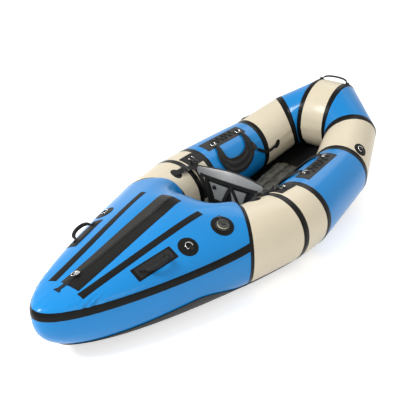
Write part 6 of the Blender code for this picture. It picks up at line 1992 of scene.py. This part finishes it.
build_hull()
build_tapes()
build_floor()
build_zip()
build_slider()
build_strips()
build_stern_rings()
build_handles()
build_bow_loop()
build_valve()
build_hips()
build_back_straps()
build_backband()
build_back_panel()
build_seat()
build_thigh_straps(build_lacing())
build_front_straps()
build_quarter_rings()


# Camera, light and floor

WHITE = (1.0, 1.0, 1.0, 1.0)
WORLD_LIGHT = 0.60
FLOOR_DROP = -0.0008
FLOOR_GLOW = 0.55

# Lamps: where each stands, what it is aimed at, its size and its power
LAMPS = {"key": ((-3.2, 1.5, 3.1), (0.0, 0.0, 0.2), 1.5, 150.0),
         "fill": ((-2.0, -4.2, 2.6), (0.0, 0.0, 0.2), 3.2, 42.0),
         "bow": ((3.4, 0.6, 3.4), (0.5, 0.0, 0.2), 2.6, 28.0)}


def build_camera():
    yaw, pitch, roll = (math.radians(v) for v in (CAMERA_YAW, CAMERA_PITCH, CAMERA_ROLL))
    forward = Vector((math.cos(yaw) * math.cos(pitch), math.sin(yaw) * math.cos(pitch), -math.sin(pitch)))
    level = forward.cross(UP).normalized()
    upright = level.cross(forward)
    right = level * math.cos(roll) + upright * math.sin(roll)
    over = upright * math.cos(roll) - level * math.sin(roll)
    data = bpy.data.cameras.new("camera")
    data.sensor_width = SENSOR
    data.lens = SENSOR * FOCAL_PIXELS / IMAGE_SIZE
    made = placed("camera", data)
    place = Matrix((right, over, -forward)).transposed().to_4x4()
    place.translation = CAMERA_SPOT
    made.matrix_world = place
    bpy.context.scene.camera = made


def area_lamp(name, spot, aim, size, power):
    data = bpy.data.lights.new(name, "AREA")
    data.shape = "DISK"
    data.size = size
    data.energy = power
    made = placed(name, data)
    made.location = spot
    made.rotation_euler = (Vector(aim) - Vector(spot)).to_track_quat("-Z", "Y").to_euler()


def seen_by(tree, *kinds):
    """1 for rays of these kinds, 0 for all others."""
    path = tree.nodes.new("ShaderNodeLightPath")
    seen = path.outputs[kinds[0]]
    for kind in kinds[1:]:
        seen = math_of(tree, "MAXIMUM", seen, path.outputs[kind])
    return seen


def build_stage():
    """White world, pale floor and three lamps."""
    scene = bpy.context.scene
    scene.view_settings.view_transform = "Standard"
    scene.world = bpy.data.worlds.new("studio")
    scene.world.use_nodes = True
    tree = scene.world.node_tree
    back = tree.nodes["Background"]
    back.inputs["Color"].default_value = WHITE
    seen = seen_by(tree, "Is Camera Ray", "Is Glossy Ray", "Is Transmission Ray")
    tree.links.new(value_range(tree, seen, 0.0, 1.0, WORLD_LIGHT, 1.0), back.inputs["Strength"])

    bpy.ops.mesh.primitive_plane_add(size=60.0, location=(0.0, 0.0, FLOOR_DROP))
    ground = bpy.context.object
    ground.name = "studio_floor"
    made, tree, shader = new_material("pale_floor", (0.86, 0.86, 0.86), 0.9)
    shader.inputs["Specular IOR Level"].default_value = 0.0
    shader.inputs["Emission Color"].default_value = WHITE
    seen = seen_by(tree, "Is Camera Ray", "Is Glossy Ray")
    tree.links.new(math_of(tree, "MULTIPLY", seen, FLOOR_GLOW), shader.inputs["Emission Strength"])
    ground.data.materials.append(made)
    for name, values in LAMPS.items():
        area_lamp(name, *values)


build_camera()
build_stage()
